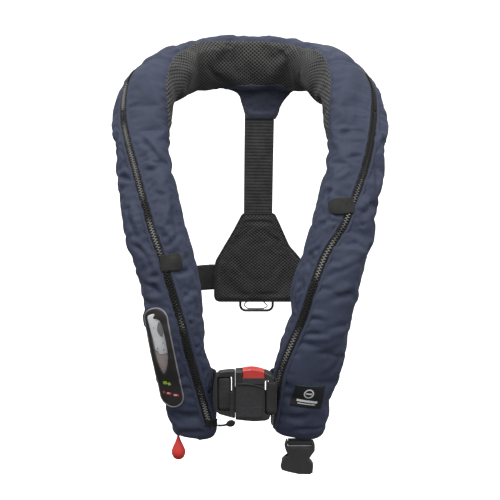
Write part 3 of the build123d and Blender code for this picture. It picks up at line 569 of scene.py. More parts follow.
def finish_piece(ob, key, body="root", replaces=()):
    paint(ob, key)
    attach(ob, body)
    if replaces:
        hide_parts(*replaces)
    return ob


# ------------------------------------------------------------------ padded cover, simulated as cloth
N0, N1, N2, N3 = 17, 16, 0, 37          # columns: outer edge-zip, zip-lining or neck edge, body side
NC = N0 + N1 + N2 + N3
NT = 330


def columns(t):
    z, e = zip_at(t), lining_edge(t)
    parts = [np.linspace(0, 1, N0, endpoint=False)[None] * z[:, None],
             z[:, None] + np.linspace(0, 1, N1, endpoint=False)[None] * (e - z)[:, None],
             e[:, None] + np.linspace(0, 1, N3, endpoint=False)[None] * (2 * math.pi - e)[:, None]]
    return np.concatenate(parts, 1)


# rows evenly spaced along the horseshoe
fine_t = np.linspace(0, 36, 2001)
fine_s = np.concatenate([[0], np.cumsum(np.linalg.norm(np.diff(cr(SC, fine_t), axis=0), axis=1))])
row_t = np.interp(np.linspace(0, fine_s[-1], NT), fine_s, fine_t)
# rows that fall on the lining's ends and the shoulder seams
SEAM_ROWS = [T_LINING, 13.62, 36 - 13.62, 36 - T_LINING]
for s in SEAM_ROWS:
    row_t[np.abs(row_t - s).argmin()] = s
END = [(13.3, 0.02, 0.02), (13.2, 0.22, 0.14), (12.6, 0.45, 0.34), (11.2, 0.66, 0.56), (9.0, 0.81, 0.75),
       (6.4, 0.91, 0.88), (3.4, 0.975, 0.965)]
all_t = np.concatenate([np.zeros(len(END)), row_t, np.full(len(END), 36.0)])
beyond = np.concatenate([[-e[0] for e in END], np.zeros(NT), [e[0] for e in END[::-1]]])
ka = np.concatenate([[e[1] for e in END], np.ones(NT), [e[1] for e in END[::-1]]])
kb = np.concatenate([[e[2] for e in END], np.ones(NT), [e[2] for e in END[::-1]]])
NR = len(all_t)
TH = columns(all_t)
TT = np.repeat(all_t[:, None], NC, 1)
P0, NRM0, TAN0 = surf(TT, TH, 0.0, beyond[:, None], ka[:, None], kb[:, None])
row_s = np.interp(all_t, fine_t, fine_s) + beyond
wrapP = np.concatenate([P0, P0[:, :1]], 1)
arc = np.concatenate([np.zeros((NR, 1)), np.cumsum(np.linalg.norm(np.diff(wrapP, axis=1), axis=2), 1)], 1)
ARC = arc[:, :NC]
PERIM = arc[:, -1:]


def smooth_bump(d, w):
    return np.exp(-(d / w) ** 2)


zip_arc = ARC[:, N0:N0 + 1]
lin_arc = ARC[:, N0 + N1:N0 + N1 + 1]
neck_arc = ARC[:, N0 + N1 + N2:N0 + N1 + N2 + 1]
d_zip = np.abs(ARC - zip_arc)
d_lin = np.where((TT >= T_LINING) & (TT <= 36 - T_LINING), np.abs(ARC - lin_arc), 99)
d_outer = np.minimum(ARC, PERIM - ARC)
d_neck = np.where((TT < T_LINING) | (TT > 36 - T_LINING), np.abs(ARC - neck_arc), 99)
S2 = row_s[:, None] * np.ones((1, NC))
d_row = np.full(TT.shape, 99.0)
for s in (T_LINING, 36 - T_LINING):
    d = np.abs(S2 - np.interp(s, fine_t, fine_s))
    d_row = np.minimum(d_row, np.where(ARC >= lin_arc - 0.5, d, 99))
for s in (13.62, 36 - 13.62):
    d = np.abs(S2 - np.interp(s, fine_t, fine_s))
    d_row = np.minimum(d_row, np.where((ARC > zip_arc) & (ARC < lin_arc), d, 99))
d_end = np.minimum(S2 - row_s[len(END)], row_s[-len(END) - 1] - S2)
pins = np.maximum.reduce([np.clip(1.6 - d_zip / 6.0, 0, 1), np.clip(1.3 - d_lin / 3.0, 0, 1),
                          np.clip(1.2 - d_outer / 3.0, 0, 1), np.clip(1.2 - d_neck / 3.0, 0, 1),
                          np.clip(1.2 - d_row / 3.0, 0, 1), np.clip(1.0 - d_end / 5.0, 0, 1)])
weave = np.stack([S2, ARC, np.zeros_like(S2)], -1)

verts = P0.reshape(-1, 3)
faces = grid_faces(NR, NC, wrap=True)
faces.append(tuple(range(NC)))
faces.append(tuple((NR - 1) * NC + j for j in range(NC))[::-1])
tube = new_mesh("tube", verts, faces, weave=weave.reshape(-1, 3))
# a face's region: 0 navy cover, 1 mesh lining; and its panel
me = tube.data
region = np.zeros(len(me.polygons), np.int32)
for i in range(NR - 1):
    tm = (all_t[i] + all_t[i + 1]) / 2
    for j in range(NC):
        f = i * NC + j
        if T_LINING < tm < 36 - T_LINING:
            region[f] = 1 if j >= N0 + N1 else 5
        elif tm < 18:
            region[f] = 2 if j < N0 + N1 + N2 else 3
        else:
            region[f] = 4 if j < N0 + N1 + N2 else 6
region[-2], region[-1] = 2, 4
at = me.attributes.new("region", "INT", "FACE")
at.data.foreach_set("value", region)
fix_normals(tube)
cloth(tube, pins.reshape(-1), pressure=2.2, grow=0.055, frames=18, cap=4.5)
subdivide(tube, 1)

# the same fields on the finer mesh, read from its attributes
me = tube.data
co = coords(me) / MM
wv = np.empty(len(me.vertices) * 3, np.float32)
me.attributes["weave"].data.foreach_get("vector", wv)
wv = wv.reshape(-1, 3).astype(float)
nr = np.empty(len(me.vertices) * 3, np.float32)
me.vertices.foreach_get("normal", nr)
nr = nr.reshape(-1, 3).astype(float)

# folds seen on the jacket: lines along the surface, as station and angle
CREASES = [
    ((10.92, 1.57), (10.67, 1.84), (10.33, 2.09), (9.92, 2.44)),
    ((9.83, 1.60), (9.75, 1.90), (9.75, 2.22)),
    ((9.83, 0.62), (9.67, 1.08), (9.58, 1.41)),
    ((7.67, 2.68), (7.42, 2.19), (7.25, 1.87)),
    ((6.50, 1.98), (6.50, 2.30), (6.50, 2.74)),
    ((6.58, 1.08), (6.58, 1.38), (6.58, 1.60)),
    ((7.83, 0.65), (7.58, 1.08), (7.25, 1.30), (6.75, 1.38)),
    ((6.50, 0.92), (6.33, 1.22), (6.00, 1.44)),
    ((5.75, 2.09), (5.92, 2.44), (6.00, 2.87)),
    ((5.92, 0.68), (5.75, 1.08), (5.75, 1.35)),
    ((4.75, 2.22), (4.08, 2.22), (3.17, 2.22)),
    ((1.42, 0.92), (1.08, 1.44), (0.83, 1.90)),
    ((0.15, 0.95), (0.05, 1.52), (0.05, 2.00)),
    ((8.58, 2.55), (8.08, 2.57), (7.67, 2.52)),
    ((8.92, 0.97), (8.33, 1.00), (7.83, 1.11)),
    ((4.00, 1.92), (3.83, 2.03), (3.67, 2.14)),
    ((20.50, 3.36), (20.75, 3.12), (21.08, 2.87)),
    ((21.25, 3.09), (21.42, 2.76), (21.33, 2.44)),
    ((14.00, 2.19), (14.25, 2.38), (14.75, 2.33)),
    ((24.00, 2.09), (24.25, 1.98), (24.50, 1.92)),
    ((25.00, 2.41), (24.92, 2.11), (24.83, 1.87)),
    ((26.58, 2.36), (26.42, 2.11), (26.17, 1.92)),
    ((27.17, 2.66), (27.00, 2.47), (26.92, 2.30)),
    ((24.33, 1.03), (24.75, 0.87), (25.08, 0.70)),
    ((25.92, 1.00), (26.25, 0.84), (26.67, 0.81)),
    ((28.33, 1.98), (28.08, 1.79), (27.92, 1.63)),
    ((29.67, 1.82), (29.33, 1.57), (28.92, 1.14), (28.75, 0.87)),
    ((30.92, 2.09), (30.83, 1.79), (30.83, 1.52)),
    ((31.25, 1.65), (31.00, 1.27), (30.67, 0.27)),
    ((31.42, 2.09), (31.33, 1.71), (31.25, 1.38)),
    ((32.75, 1.25), (32.33, 0.95), (31.92, 0.62)),
    ((35.17, 2.11), (35.00, 1.71), (34.67, 1.41)),
    ((35.75, 1.79), (35.67, 1.35), (35.58, 0.59)),
    ((28.25, 2.76), (28.00, 2.44), (27.83, 2.19)),
    ((30.33, 2.79), (30.08, 2.55), (29.92, 2.41)),
    ((27.50, 1.27), (27.25, 1.06), (26.92, 0.84)),
    ((30.17, 1.57), (30.00, 1.25), (29.67, 0.87)),
    ((28.33, 1.41), (28.42, 1.08), (28.42, 0.76)),
    ((31.92, 1.57), (31.75, 1.27), (31.50, 0.89)),
]
# and smaller ones on the sides that face away
for k in range(30):
    t0 = rng.uniform(1.0, 35.0)
    a0 = rng.uniform(3.6, 5.6) if rng.random() < 0.7 else rng.uniform(0.25, 0.7)
    da = rng.uniform(0.3, 0.7)
    dt = rng.uniform(-0.35, 0.35)
    CREASES.append(((t0, a0), (t0 + dt * 0.5, a0 + da * 0.5), (t0 + dt, a0 + da)))


FINE = []
for k in range(64):
    t0 = rng.uniform(0.6, 12.5) if k % 2 else rng.uniform(23.5, 35.4)
    z0 = float(zip_at(t0))
    sd = 1 if rng.random() < 0.6 else -1
    g0, g1 = rng.uniform(0.10, 0.22), rng.uniform(0.45, 0.95)
    dt = rng.uniform(-0.42, 0.42)
    b0, b1 = z0 + sd * g0, z0 + sd * g1
    if min(b0, b1) < 0.12 or max(b0, b1) > 3.0:
        continue
    FINE.append(((t0, b0), (t0 + dt * 0.45, (b0 + b1) / 2), (t0 + dt, b1)))


def carve(co, nr, lines, depth, width, extra=0.55):
    out = np.zeros(len(co))
    for k, line in enumerate(lines):
        tt = np.array([p[0] for p in line], float)
        aa = np.array([p[1] for p in line], float)
        q = np.linspace(0, len(line) - 1, 14)
        pts, nn, _ = surf(np.interp(q, range(len(line)), tt), np.interp(q, range(len(line)), aa))
        d = depth * rng.uniform(0.75, 1.25)
        w = width * rng.uniform(0.8, 1.3)
        side = 1 if rng.random() < 0.5 else -1
        near = np.nonzero(np.linalg.norm(co - pts[7], axis=1) < np.linalg.norm(pts[0] - pts[-1]) * 0.6 + w * 6)[0]
        if not len(near):
            continue
        c = co[near]
        best = np.full(len(near), 1e9)
        par = np.zeros(len(near))
        sgn = np.zeros(len(near))
        for s in range(13):
            a, b = pts[s], pts[s + 1]
            ab = b - a
            f = np.clip(((c - a) @ ab) / (ab @ ab), 0, 1)
            pr = a + f[:, None] * ab
            dist = np.linalg.norm(c - pr, axis=1)
            cross = np.cross(ab, nn[s])
            sg = np.sign((c - pr) @ cross)
            m = dist < best
            best[m], par[m], sgn[m] = dist[m], (s + f[m]) / 13, sg[m]
        e = best * sgn * side
        taper = np.sin(np.pi * np.clip(par, 0, 1)) ** 0.6
        taper = np.where((par <= 0) | (par >= 1), 0.0, taper)
        prof = (-np.exp(-(np.abs(e) / w) ** 1.25) + extra * np.exp(-((e - 2.0 * w) / (1.5 * w)) ** 2)
                + extra * 0.45 * np.exp(-((e + 2.1 * w) / (1.6 * w)) ** 2))
        out[near] += d * prof * taper
    return out


base_co = co.copy()
disp = carve(co, nr, CREASES[:39], 4.0, 2.9) + carve(co, nr, CREASES[39:], 2.0, 3.8) + carve(co, nr, FINE, 1.5, 1.9, 0.4)

# distances to the seams on the finer mesh, from the smoothed weave coordinates
t_of = np.interp(wv[:, 0], fine_s, fine_t)
zi = np.interp(wv[:, 0], row_s, zip_arc[:, 0])
li = np.interp(wv[:, 0], row_s, lin_arc[:, 0])
ni = np.interp(wv[:, 0], row_s, neck_arc[:, 0])
pe = np.interp(wv[:, 0], row_s, PERIM[:, 0])
in_lin = (t_of >= T_LINING) & (t_of <= 36 - T_LINING)
dz = np.abs(wv[:, 1] - zi)
dl = np.where(in_lin, np.abs(wv[:, 1] - li), 99)
do = np.minimum(wv[:, 1], pe - wv[:, 1])
dn = np.where(in_lin, 99, np.abs(wv[:, 1] - ni))
dr = np.full(len(co), 99.0)
for s in (T_LINING, 36 - T_LINING):
    d = np.abs(wv[:, 0] - np.interp(s, fine_t, fine_s))
    dr = np.minimum(dr, np.where(wv[:, 1] > ni - 2, d, 99))
for s in (13.62, 36 - 13.62):
    d = np.abs(wv[:, 0] - np.interp(s, fine_t, fine_s))
    dr = np.minimum(dr, np.where((wv[:, 1] > zi) & (wv[:, 1] < li), d, 99))
# creases die out on the zipper's tape
hold = np.clip((dz - 4.0) / 6.0, 0, 1)
disp *= hold
# seams sink, with small gathers beside them
for d, depth, w in ((dl, 1.5, 3.0), (do, 1.3, 3.2), (dn, 1.0, 2.8), (dr, 1.5, 2.6)):
    disp -= depth * np.exp(-(d / w) ** 2)
pucker = (np.sin(wv[:, 0] * 0.62 + 1.7 * np.sin(wv[:, 0] * 0.071)) * 0.5
          + np.sin(wv[:, 0] * 0.37 + 2.1 * np.sin(wv[:, 0] * 0.043)) * 0.5)
near = np.exp(-(np.maximum(dz - 5, 0) / 6.0) ** 2) * np.clip((dz - 3) / 3, 0, 1) * 0.45
near += 0.18 * np.exp(-(np.minimum(np.minimum(dl, do), dn) / 7.0) ** 2)
disp += pucker * near
# the cover lies under the tape
disp -= 0.9 * np.exp(-(dz / 4.5) ** 4)
co = co + nr * disp[:, None]
# the cover's front stays in front of the whistle that lies under it
wx_ = np.clip(1 - (np.abs(co[:, 0] - 80.0) - 12.5) / 8.0, 0, 1) * np.clip(1 - (np.abs(co[:, 2] + 357.0) - 21.0) / 8.0, 0, 1)
lowered = np.maximum(co[:, 1] + 250.4, 0) * wx_ * (nr[:, 1] < -0.15)
co[:, 1] -= lowered


def clear_of(co, nr, names, gap=1.6, reach=14.0):
    """How far each vertex on the sides and back moves out to stay off the parts inside."""
    need = np.zeros(len(co))
    todo = np.nonzero(nr[:, 1] > -0.25)[0]
    for n_name in names:
        node_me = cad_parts[n_name].data
        nv = np.empty(len(node_me.vertices) * 3)
        node_me.vertices.foreach_get("co", nv)
        nv = nv.reshape(-1, 3) / MM
        lo_, hi_ = nv.min(0) - reach, nv.max(0) + reach
        tree_ = BVHTree.FromPolygons([Vector(v) for v in nv], [tuple(p.vertices) for p in node_me.polygons])
        close = todo[((co[todo] > lo_) & (co[todo] < hi_)).all(1)]
        for k in close:
            hit = tree_.find_nearest(Vector(co[k]), reach)
            if hit[0] is None:
                continue
            d_ = (Vector(co[k]) - hit[0]).dot(hit[1])
            if d_ < gap:
                need[k] = max(need[k], min(gap - d_, reach))
    edges = np.empty(len(me.edges) * 2, np.int64)
    me.edges.foreach_get("vertices", edges)
    e0, e1 = edges.reshape(-1, 2).T
    deg = np.maximum(np.bincount(e0, minlength=len(co)) + np.bincount(e1, minlength=len(co)), 1)
    for _ in range(14):
        mean = (np.bincount(e0, weights=need[e1], minlength=len(co))
                + np.bincount(e1, weights=need[e0], minlength=len(co))) / deg
        need = np.maximum(need, mean)
    return need


push = clear_of(co, nr, ("bladder", "inflator_body", "gas_cylinder", "oral_tube", "whistle"))
co = co + nr * push[:, None]
set_coords(me, co * MM)

bvh_me = coords(me) / MM
polys = [tuple(p.vertices) for p in me.polygons]
BVH = BVHTree.FromPolygons([Vector(v) for v in bvh_me], polys)


def on_front(x, z, lift=0.0):
    """The cover's front at X, Z in mm, lifted off the cloth."""
    hit = BVH.ray_cast(Vector((x, -400, z)), Vector((0, 1, 0)))
    if hit[0] is None:
        hit = BVH.find_nearest(Vector((x, -262, z)))
    n = hit[1] if hit[1].y < 0 else -hit[1]
    return np.array(hit[0]) + np.array(n) * lift, np.array(n)


def smooth_patch(pts, rounds=3):
    """Averages a grid of heights along Y, so a stiff patch bridges small folds."""
    p = pts.copy()
    for _ in range(rounds):
        q = p.copy()
        q[1:-1, :, 1] = (p[:-2, :, 1] + p[2:, :, 1] + 2 * p[1:-1, :, 1]) / 4
        p = q.copy()
        q[:, 1:-1, 1] = (p[:, :-2, 1] + p[:, 2:, 1] + 2 * p[:, 1:-1, 1]) / 4
        p = q
    return p


# window opening, as circles of 11 and 2.6 mm joined by tangents
LENS_KNOTS = np.array([(-118.0, -303.2), (-122.1, -304.6), (-124.4, -307.8), (-124.7, -311.9), (-123.9, -321.1),
                       (-122.5, -330.5), (-120.5, -341.8), (-118.1, -353.1), (-115.3, -362.6), (-112.3, -370.6),
                       (-109.8, -375.2), (-107.5, -376.2), (-105.7, -374.3), (-103.9, -368.0), (-102.7, -358.8),
                       (-102.6, -350.3), (-103.4, -342.7), (-104.8, -334.2), (-106.7, -324.8), (-108.6, -316.4),
                       (-110.6, -309.4), (-113.7, -304.9)])

LENS_KNOTS = LENS_KNOTS + np.stack([1.7 * (LENS_KNOTS[:, 1] + 376) / 73, -3.2 * (LENS_KNOTS[:, 1] + 376) / 73], -1)


def closed_curve(knots, count):
    k = np.asarray(knots, float)
    m = len(k)
    q = np.linspace(0, m, 600, endpoint=False)
    i = q.astype(int)
    f = (q - i)[:, None]
    p0, p1, p2, p3 = k[(i - 1) % m], k[i % m], k[(i + 1) % m], k[(i + 2) % m]
    c = 0.5 * (2 * p1 + (p2 - p0) * f + (2 * p0 - 5 * p1 + 4 * p2 - p3) * f ** 2 + (3 * p1 - p0 - 3 * p2 + p3) * f ** 3)
    d = np.concatenate([c, c[:1]])
    s_ = np.concatenate([[0], np.cumsum(np.linalg.norm(np.diff(d, axis=0), axis=1))])
    e = np.linspace(0, s_[-1], count, endpoint=False)
    return np.stack([np.interp(e, s_, d[:, 0]), np.interp(e, s_, d[:, 1])], -1)


LENS_LINE = closed_curve(LENS_KNOTS, 160)


def lens_distance(x, z):
    """Signed distance to the window's outline, negative inside, and its direction."""
    p = np.stack([x, z], -1)
    a, b = LENS_LINE, np.roll(LENS_LINE, -1, 0)
    ab = b - a
    f = np.clip(((p[:, None] - a[None]) * ab[None]).sum(-1) / (ab * ab).sum(-1)[None], 0, 1)
    near = a[None] + f[..., None] * ab[None]
    v = p[:, None] - near
    ln = np.linalg.norm(v, axis=-1)
    k = ln.argmin(1)
    r = np.arange(len(p))
    v, ln = v[r, k], ln[r, k]
    crossing = ((a[None, :, 1] > p[:, None, 1]) != (b[None, :, 1] > p[:, None, 1])) & (
        p[:, None, 0] < a[None, :, 0] + (p[:, None, 1] - a[None, :, 1]) * ab[None, :, 0]
        / np.where(np.abs(ab[None, :, 1]) < 1e-9, 1e-9, ab[None, :, 1]))
    inside_ = crossing.sum(1) % 2 == 1
    sign = np.where(inside_, -1.0, 1.0)
    return ln * sign, v * sign[:, None] / np.maximum(ln, 1e-6)[:, None]


# cut the window through the front cover: move the near vertices onto its outline, then open it
GROW = 0.8
co = coords(me) / MM
front = (co[:, 1] < -225) & (co[:, 0] < -85) & (co[:, 2] < -290) & (co[:, 2] > -390)
idx = np.nonzero(front)[0]
d, g = lens_distance(co[idx, 0], co[idx, 2])
sel = np.abs(d - GROW) < 1.15
co[idx[sel], 0] -= g[sel, 0] * (d[sel] - GROW)
co[idx[sel], 2] -= g[sel, 1] * (d[sel] - GROW)
# and an eyelet in the lobe's lower end, where the handle's lanyard comes out
hx, hy, hr = -93.4, -236.0, 3.0
hd = np.hypot(co[:, 0] - hx, co[:, 1] - hy)
low_end = co[:, 2] < -440
ring_v = np.nonzero(low_end & (np.abs(hd - hr) < 1.3) & (hd > 0.2))[0]
co[ring_v, 0] = hx + (co[ring_v, 0] - hx) * hr / hd[ring_v]
co[ring_v, 1] = hy + (co[ring_v, 1] - hy) * hr / hd[ring_v]
set_coords(me, co * MM)
inside = np.zeros(len(co), bool)
inside[idx[(d <= GROW + 1.15)]] = True
inside[np.nonzero(low_end & (hd <= hr + 1.3))[0]] = True
bm = bmesh.new()
bm.from_mesh(me)
bm.verts.ensure_lookup_table()
doomed = [f for f in bm.faces if all(inside[v.index] for v in f.verts)]
bmesh.ops.delete(bm, geom=doomed, context="FACES")
bm.to_mesh(me)
bm.free()

# split by panel
reg = np.empty(len(me.polygons), np.int32)
me.attributes["region"].data.foreach_get("value", reg)
co = coords(me)
wv = np.empty(len(me.vertices) * 3, np.float32)
me.attributes["weave"].data.foreach_get("vector", wv)
wv = wv.reshape(-1, 3)
# the last column joins the first: give that strip a weave of its own so that it doesn't run back
PANELS = {2: ("front_left_cover", "cover", "cover_fabric", ("cover_front_left", "hem_left")),
          3: ("back_left_cover", "cover", "cover_fabric", ("cover_back_left",)),
          5: ("collar_cover", "cover", "cover_fabric", ("cover_collar",)),
          1: ("collar_mesh_lining", "lining", "mesh_lining", ("collar_lining",)),
          4: ("front_right_cover", "cover", "cover_fabric", ("cover_front_right", "hem_right")),
          6: ("back_right_cover", "cover", "cover_fabric", ("cover_back_right",))}
perim_v = np.interp(wv[:, 0], row_s, PERIM[:, 0])
for key, (name, mat, slot_name, nodes) in PANELS.items():
    fs = [tuple(me.polygons[i].vertices) for i in np.nonzero(reg == key)[0]]
    used = sorted({v for f in fs for v in f})
    back = {v: k for k, v in enumerate(used)}
    w = wv[used].copy()
    if key in (1, 3, 6):
        low = w[:, 1] < perim_v[used] * 0.25
        w[low, 1] += perim_v[used][low]
    ob = new_mesh(name, co[used] / MM, [tuple(back[v] for v in f) for f in fs], weave=w)
    finish_piece(ob, mat, "root", nodes)
bpy.data.objects.remove(tube)


# ------------------------------------------------------------------ strips along the horseshoe
def strip(name, t0, t1, offsets, step=1.6, end_round=0.0):
    """A ribbon beside the zipper's line. offsets: pairs of distance across and lift, in mm."""
    s = np.arange(np.interp(t0, fine_t, fine_s), np.interp(t1, fine_t, fine_s) + step / 2, step)
    t = np.interp(s, fine_s, fine_t)
    z = zip_at(t)
    p, n, tan = surf(t, z)
    side = unit(np.cross(n, tan))
    rows = []
    for k in range(len(t)):
        q, _ = BVH_near(p[k], n[k])
        rows.append(q)
    c = np.array(rows)
    for _ in range(4):
        c[1:-1] = (c[:-2] + c[2:] + 2 * c[1:-1]) / 4
    d = c - p
    pts = []
    for k in range(len(t)):
        pts.append([c[k] + side[k] * o + n[k] * (h + 0.0) for o, h in offsets])
    return np.array(pts), s, c, side, n, unit(np.gradient(c, axis=0))


def BVH_near(p, n):
    hit = BVH.ray_cast(Vector(p + n * 12), Vector(-n), 30)
    if hit[0] is None:
        return p, n
    return np.array(hit[0]), np.array(hit[1])


def closed_strip(name, pts, s, mat, nodes=(), body="root"):
    nr_, nc_ = pts.shape[:2]
    fs = grid_faces(nr_, nc_, wrap=True)
    fs += [tuple(range(nc_)), tuple((nr_ - 1) * nc_ + j for j in range(nc_))[::-1]]
    acr = np.concatenate([[0], np.cumsum(np.linalg.norm(np.diff(pts[0], axis=0), axis=1))])
    w = np.stack([np.repeat(s[:, None], nc_, 1), np.repeat(acr[None], nr_, 0), np.zeros((nr_, nc_))], -1)
    ob = new_mesh(name, pts.reshape(-1, 3), fs, weave=w.reshape(-1, 3))
    fix_normals(ob)
    return finish_piece(ob, mat, body, nodes)


SECT = [("left", 0.35, 12.0), ("collar", 12.0, 24.0), ("right", 24.0, 35.9)]
TAPE = [(-6.0, -0.6), (-6.0, 0.35), (-2.6, 0.75), (0, 0.85), (2.6, 0.75), (6.0, 0.35), (6.0, -0.6)]
LIP_A = [(5.1, -0.4), (5.0, 0.7), (5.5, 1.35), (6.4, 1.45), (7.8, 1.05), (9.9, 0.1), (9.9, -0.6)]
LIP_B = [(-x, y) for x, y in LIP_A][::-1]


def teeth_mesh(name, c, side, n, tan, s, nodes):
    pitch = 1.75
    total = s[-1] - s[0]
    count = int(total / pitch) - 1
    verts, faces = [], []
    for k in range(count):
        q = s[0] + pitch * (k + 1)
        f = np.interp(q, s, np.arange(len(s)))
        i = min(int(f), len(s) - 2)
        g = f - i
        ce = c[i] * (1 - g) + c[i + 1] * g
        sd = unit(side[i] * (1 - g) + side[i + 1] * g)
        nn = unit(n[i] * (1 - g) + n[i + 1] * g)
        ta = unit(tan[i] * (1 - g) + tan[i + 1] * g)
        sgn = 1 if k % 2 else -1
        # head past the middle, foot on its own side
        x0, x1 = -0.55 * sgn, 2.6 * sgn
        ring = []
        for (h, ins) in ((0.7, 0.0), (1.9, 0.0), (2.6, 0.40)):
            w = 0.78 - ins
            xa, xb = x0 + ins * sgn, x1 - ins * sgn
            xm = x0 + 1.0 * sgn
            ring.append([ce + sd * xa + ta * w * 1.25 + nn * h, ce + sd * xm + ta * w * 1.15 + nn * h,
                         ce + sd * xb + ta * w + nn * h, ce + sd * xb - ta * w + nn * h,
                         ce + sd * xm - ta * w * 1.15 + nn * h, ce + sd * xa - ta * w * 1.25 + nn * h])
        b = len(verts)
        verts += [v for r in ring for v in r]
        for lv in range(2):
            for j in range(6):
                faces.append((b + lv * 6 + j, b + lv * 6 + (j + 1) % 6, b + lv * 6 + 6 + (j + 1) % 6, b + lv * 6 + 6 + j))
        faces.append(tuple(b + 12 + j for j in range(6)))
        faces.append(tuple(b + j for j in range(6))[::-1])
    ob = new_mesh(name, verts, faces, smooth=False)
    fix_normals(ob)
    return finish_piece(ob, "teeth", "root", nodes)


def stitches(name, points, normals, mat, length=2.6, gap=1.0, r=0.24, body="root"):
    """A row of thread stitches along a line, each a small bent capsule."""
    p = np.asarray(points, float)
    nn = np.asarray(normals, float)
    s = np.concatenate([[0], np.cumsum(np.linalg.norm(np.diff(p, axis=0), axis=1))])
    verts, faces = [], []
    at_ = 0.0
    while at_ + length < s[-1]:
        qs = np.linspace(at_, at_ + length, 5)
        b = len(verts)
        for k, q in enumerate(qs):
            c = np.array([np.interp(q, s, p[:, i]) for i in range(3)])
            c2 = np.array([np.interp(min(q + 0.2, s[-1]), s, p[:, i]) for i in range(3)])
            c1 = np.array([np.interp(max(q - 0.2, 0), s, p[:, i]) for i in range(3)])
            n_ = unit(np.array([np.interp(q, s, nn[:, i]) for i in range(3)]))
            t_ = unit(c2 - c1)
            d_ = unit(np.cross(n_, t_))
            lift = (-0.15, 0.16, 0.22, 0.16, -0.15)[k]
            rr = r * (0.35, 1, 1.1, 1, 0.35)[k]
            for a in range(6):
                verts.append(c + n_ * (lift + rr * math.sin(a * math.pi / 3)) + d_ * rr * math.cos(a * math.pi / 3))
        for k in range(4):
            for a in range(6):
                faces.append((b + k * 6 + a, b + k * 6 + (a + 1) % 6, b + k * 6 + 6 + (a + 1) % 6, b + k * 6 + 6 + a))
        faces.append(tuple(b + a for a in range(6)))
        faces.append(tuple(b + 24 + a for a in range(6)))
        at_ += length + gap
    ob = new_mesh(name, verts, faces)
    fix_normals(ob)
    return finish_piece(ob, mat, body)


for name, t0, t1 in SECT:
    pts, s, c, side, n, tan = strip("zip", t0, t1, TAPE)
    closed_strip(f"zip_tape_{name}_woven", pts, s, "tape", (f"zip_tape_{name}",))
    teeth_mesh(f"zip_teeth_{name}_moulded", c, side, n, tan, s, (f"zip_teeth_{name}",))
    for tag, prof in (("a", LIP_A), ("b", LIP_B)):
        q = np.array([[c[k] + side[k] * o + n[k] * h for o, h in prof] for k in range(len(s))])
        closed_strip(f"zip_welt_{name}_{tag}", q, s, "cover")
        off, lift = (8.0, 0.95) if tag == "a" else (-8.0, 0.95)
        line = c + side * off + n * lift
        stitches(f"zip_stitch_{name}_{tag}", line, n, "thread")


# ------------------------------------------------------------------ ribbons of webbing
def path_points(points, outs, step=1.2):
    p, o = np.array(points, float), np.array(outs, float)
    seg = np.concatenate([[0], np.cumsum(np.linalg.norm(np.diff(p, axis=0), axis=1))])
    q = np.linspace(0, len(p) - 1, 60 * len(p))
    pc = cr(p, q)
    oc = cr(o, q)
    s = np.concatenate([[0], np.cumsum(np.linalg.norm(np.diff(pc, axis=0), axis=1))])
    m = max(int(s[-1] / step), 4)
    e = np.linspace(0, s[-1], m + 1)
    pc = np.stack([np.interp(e, s, pc[:, i]) for i in range(3)], -1)
    oc = np.stack([np.interp(e, s, oc[:, i]) for i in range(3)], -1)
    t = unit(np.gradient(pc, axis=0))
    oc = unit(oc - t * (oc * t).sum(-1, keepdims=True))
    return pc, oc, t, e


def webbing(name, points, outs, width, thick, mat="web", nodes=(), body="root",
            rib=2.4, rib_h=0.16, wave=0.0, step=0.8, ride=True, crown=0.25):
    pc, oc, t, e = path_points(points, outs, step)
    side = np.cross(oc, t)
    across = np.linspace(-1, 1, 13)
    rows = []
    for k in range(len(e)):
        r = rib_h * math.cos(2 * math.pi * e[k] / rib)
        top, bottom = [], []
        for a in across:
            ed = max(0.0, (abs(a) - 0.9) / 0.1)
            h = thick / 2 * math.sqrt(max(0.12, 1 - ed * ed * 0.9)) + (r if abs(a) < 0.93 else 0)
            h += crown * (1 - a * a)
            wv_ = wave * math.sin(e[k] * 0.05 + a * 1.3)
            base_ = pc[k] + side[k] * a * width / 2 + oc[k] * wv_
            top.append(base_ + oc[k] * h)
            bottom.append(base_ - oc[k] * (h - crown * (1 - a * a) * 2))
        rows.append(top + bottom[::-1])
    pts = np.array(rows)
    nr_, nc_ = pts.shape[:2]
    fs = grid_faces(nr_, nc_, wrap=True)
    fs += [tuple(range(nc_)), tuple((nr_ - 1) * nc_ + j for j in range(nc_))[::-1]]
    a2 = np.concatenate([across, across[::-1]]) * width / 2
    w = np.stack([np.repeat(e[:, None], nc_, 1), np.repeat(a2[None], nr_, 0), np.zeros((nr_, nc_))], -1)
    ob = new_mesh(name, pts.reshape(-1, 3), fs, weave=w.reshape(-1, 3))
    fix_normals(ob)
    paint(ob, mat)
    if nodes:
        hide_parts(*nodes)
    if ride:
        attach(ob, body)
    return ob


BACK_BELT = [(-66, 42.6, -326.8), (-20, 44, -326.8), (40, 44, -326.8), (88, 42.4, -326.8)]
webbing("back_belt_webbing", BACK_BELT, [(0, 1, 0)] * 4, 41, 1.5, nodes=("belt_back",))
LEFT_BELT = [(-61.2, 42.8, -326.8), (-85, 38, -328), (-112, 20, -332), (-130, -15, -339),
             (-135, -60, -349), (-132, -110, -363), (-122, -160, -380), (-104, -196, -393),
             (-82, -211, -400), (-64, -215.2, -402)]
LEFT_OUT = [(0, 1, 0), (-.3, 1, 0), (-.8, .7, 0), (-1, .3, 0), (-1, 0, 0), (-1, -.2, 0),
            (-1, -.4, 0), (-.7, -.8, 0), (-.3, -1, 0), (-.3, -1, 0)]
webbing("left_belt_webbing", LEFT_BELT, LEFT_OUT, 41, 1.5, nodes=("belt_left",))
RIGHT_BELT = [(85.6, 42.2, -326.8), (97, 36.5, -328), (112, 20, -332), (124, -15, -339),
              (127, -60, -349), (124, -110, -363), (115, -160, -380), (98, -196, -393),
              (76, -211, -400.5), (54, -216.0, -402.5)]
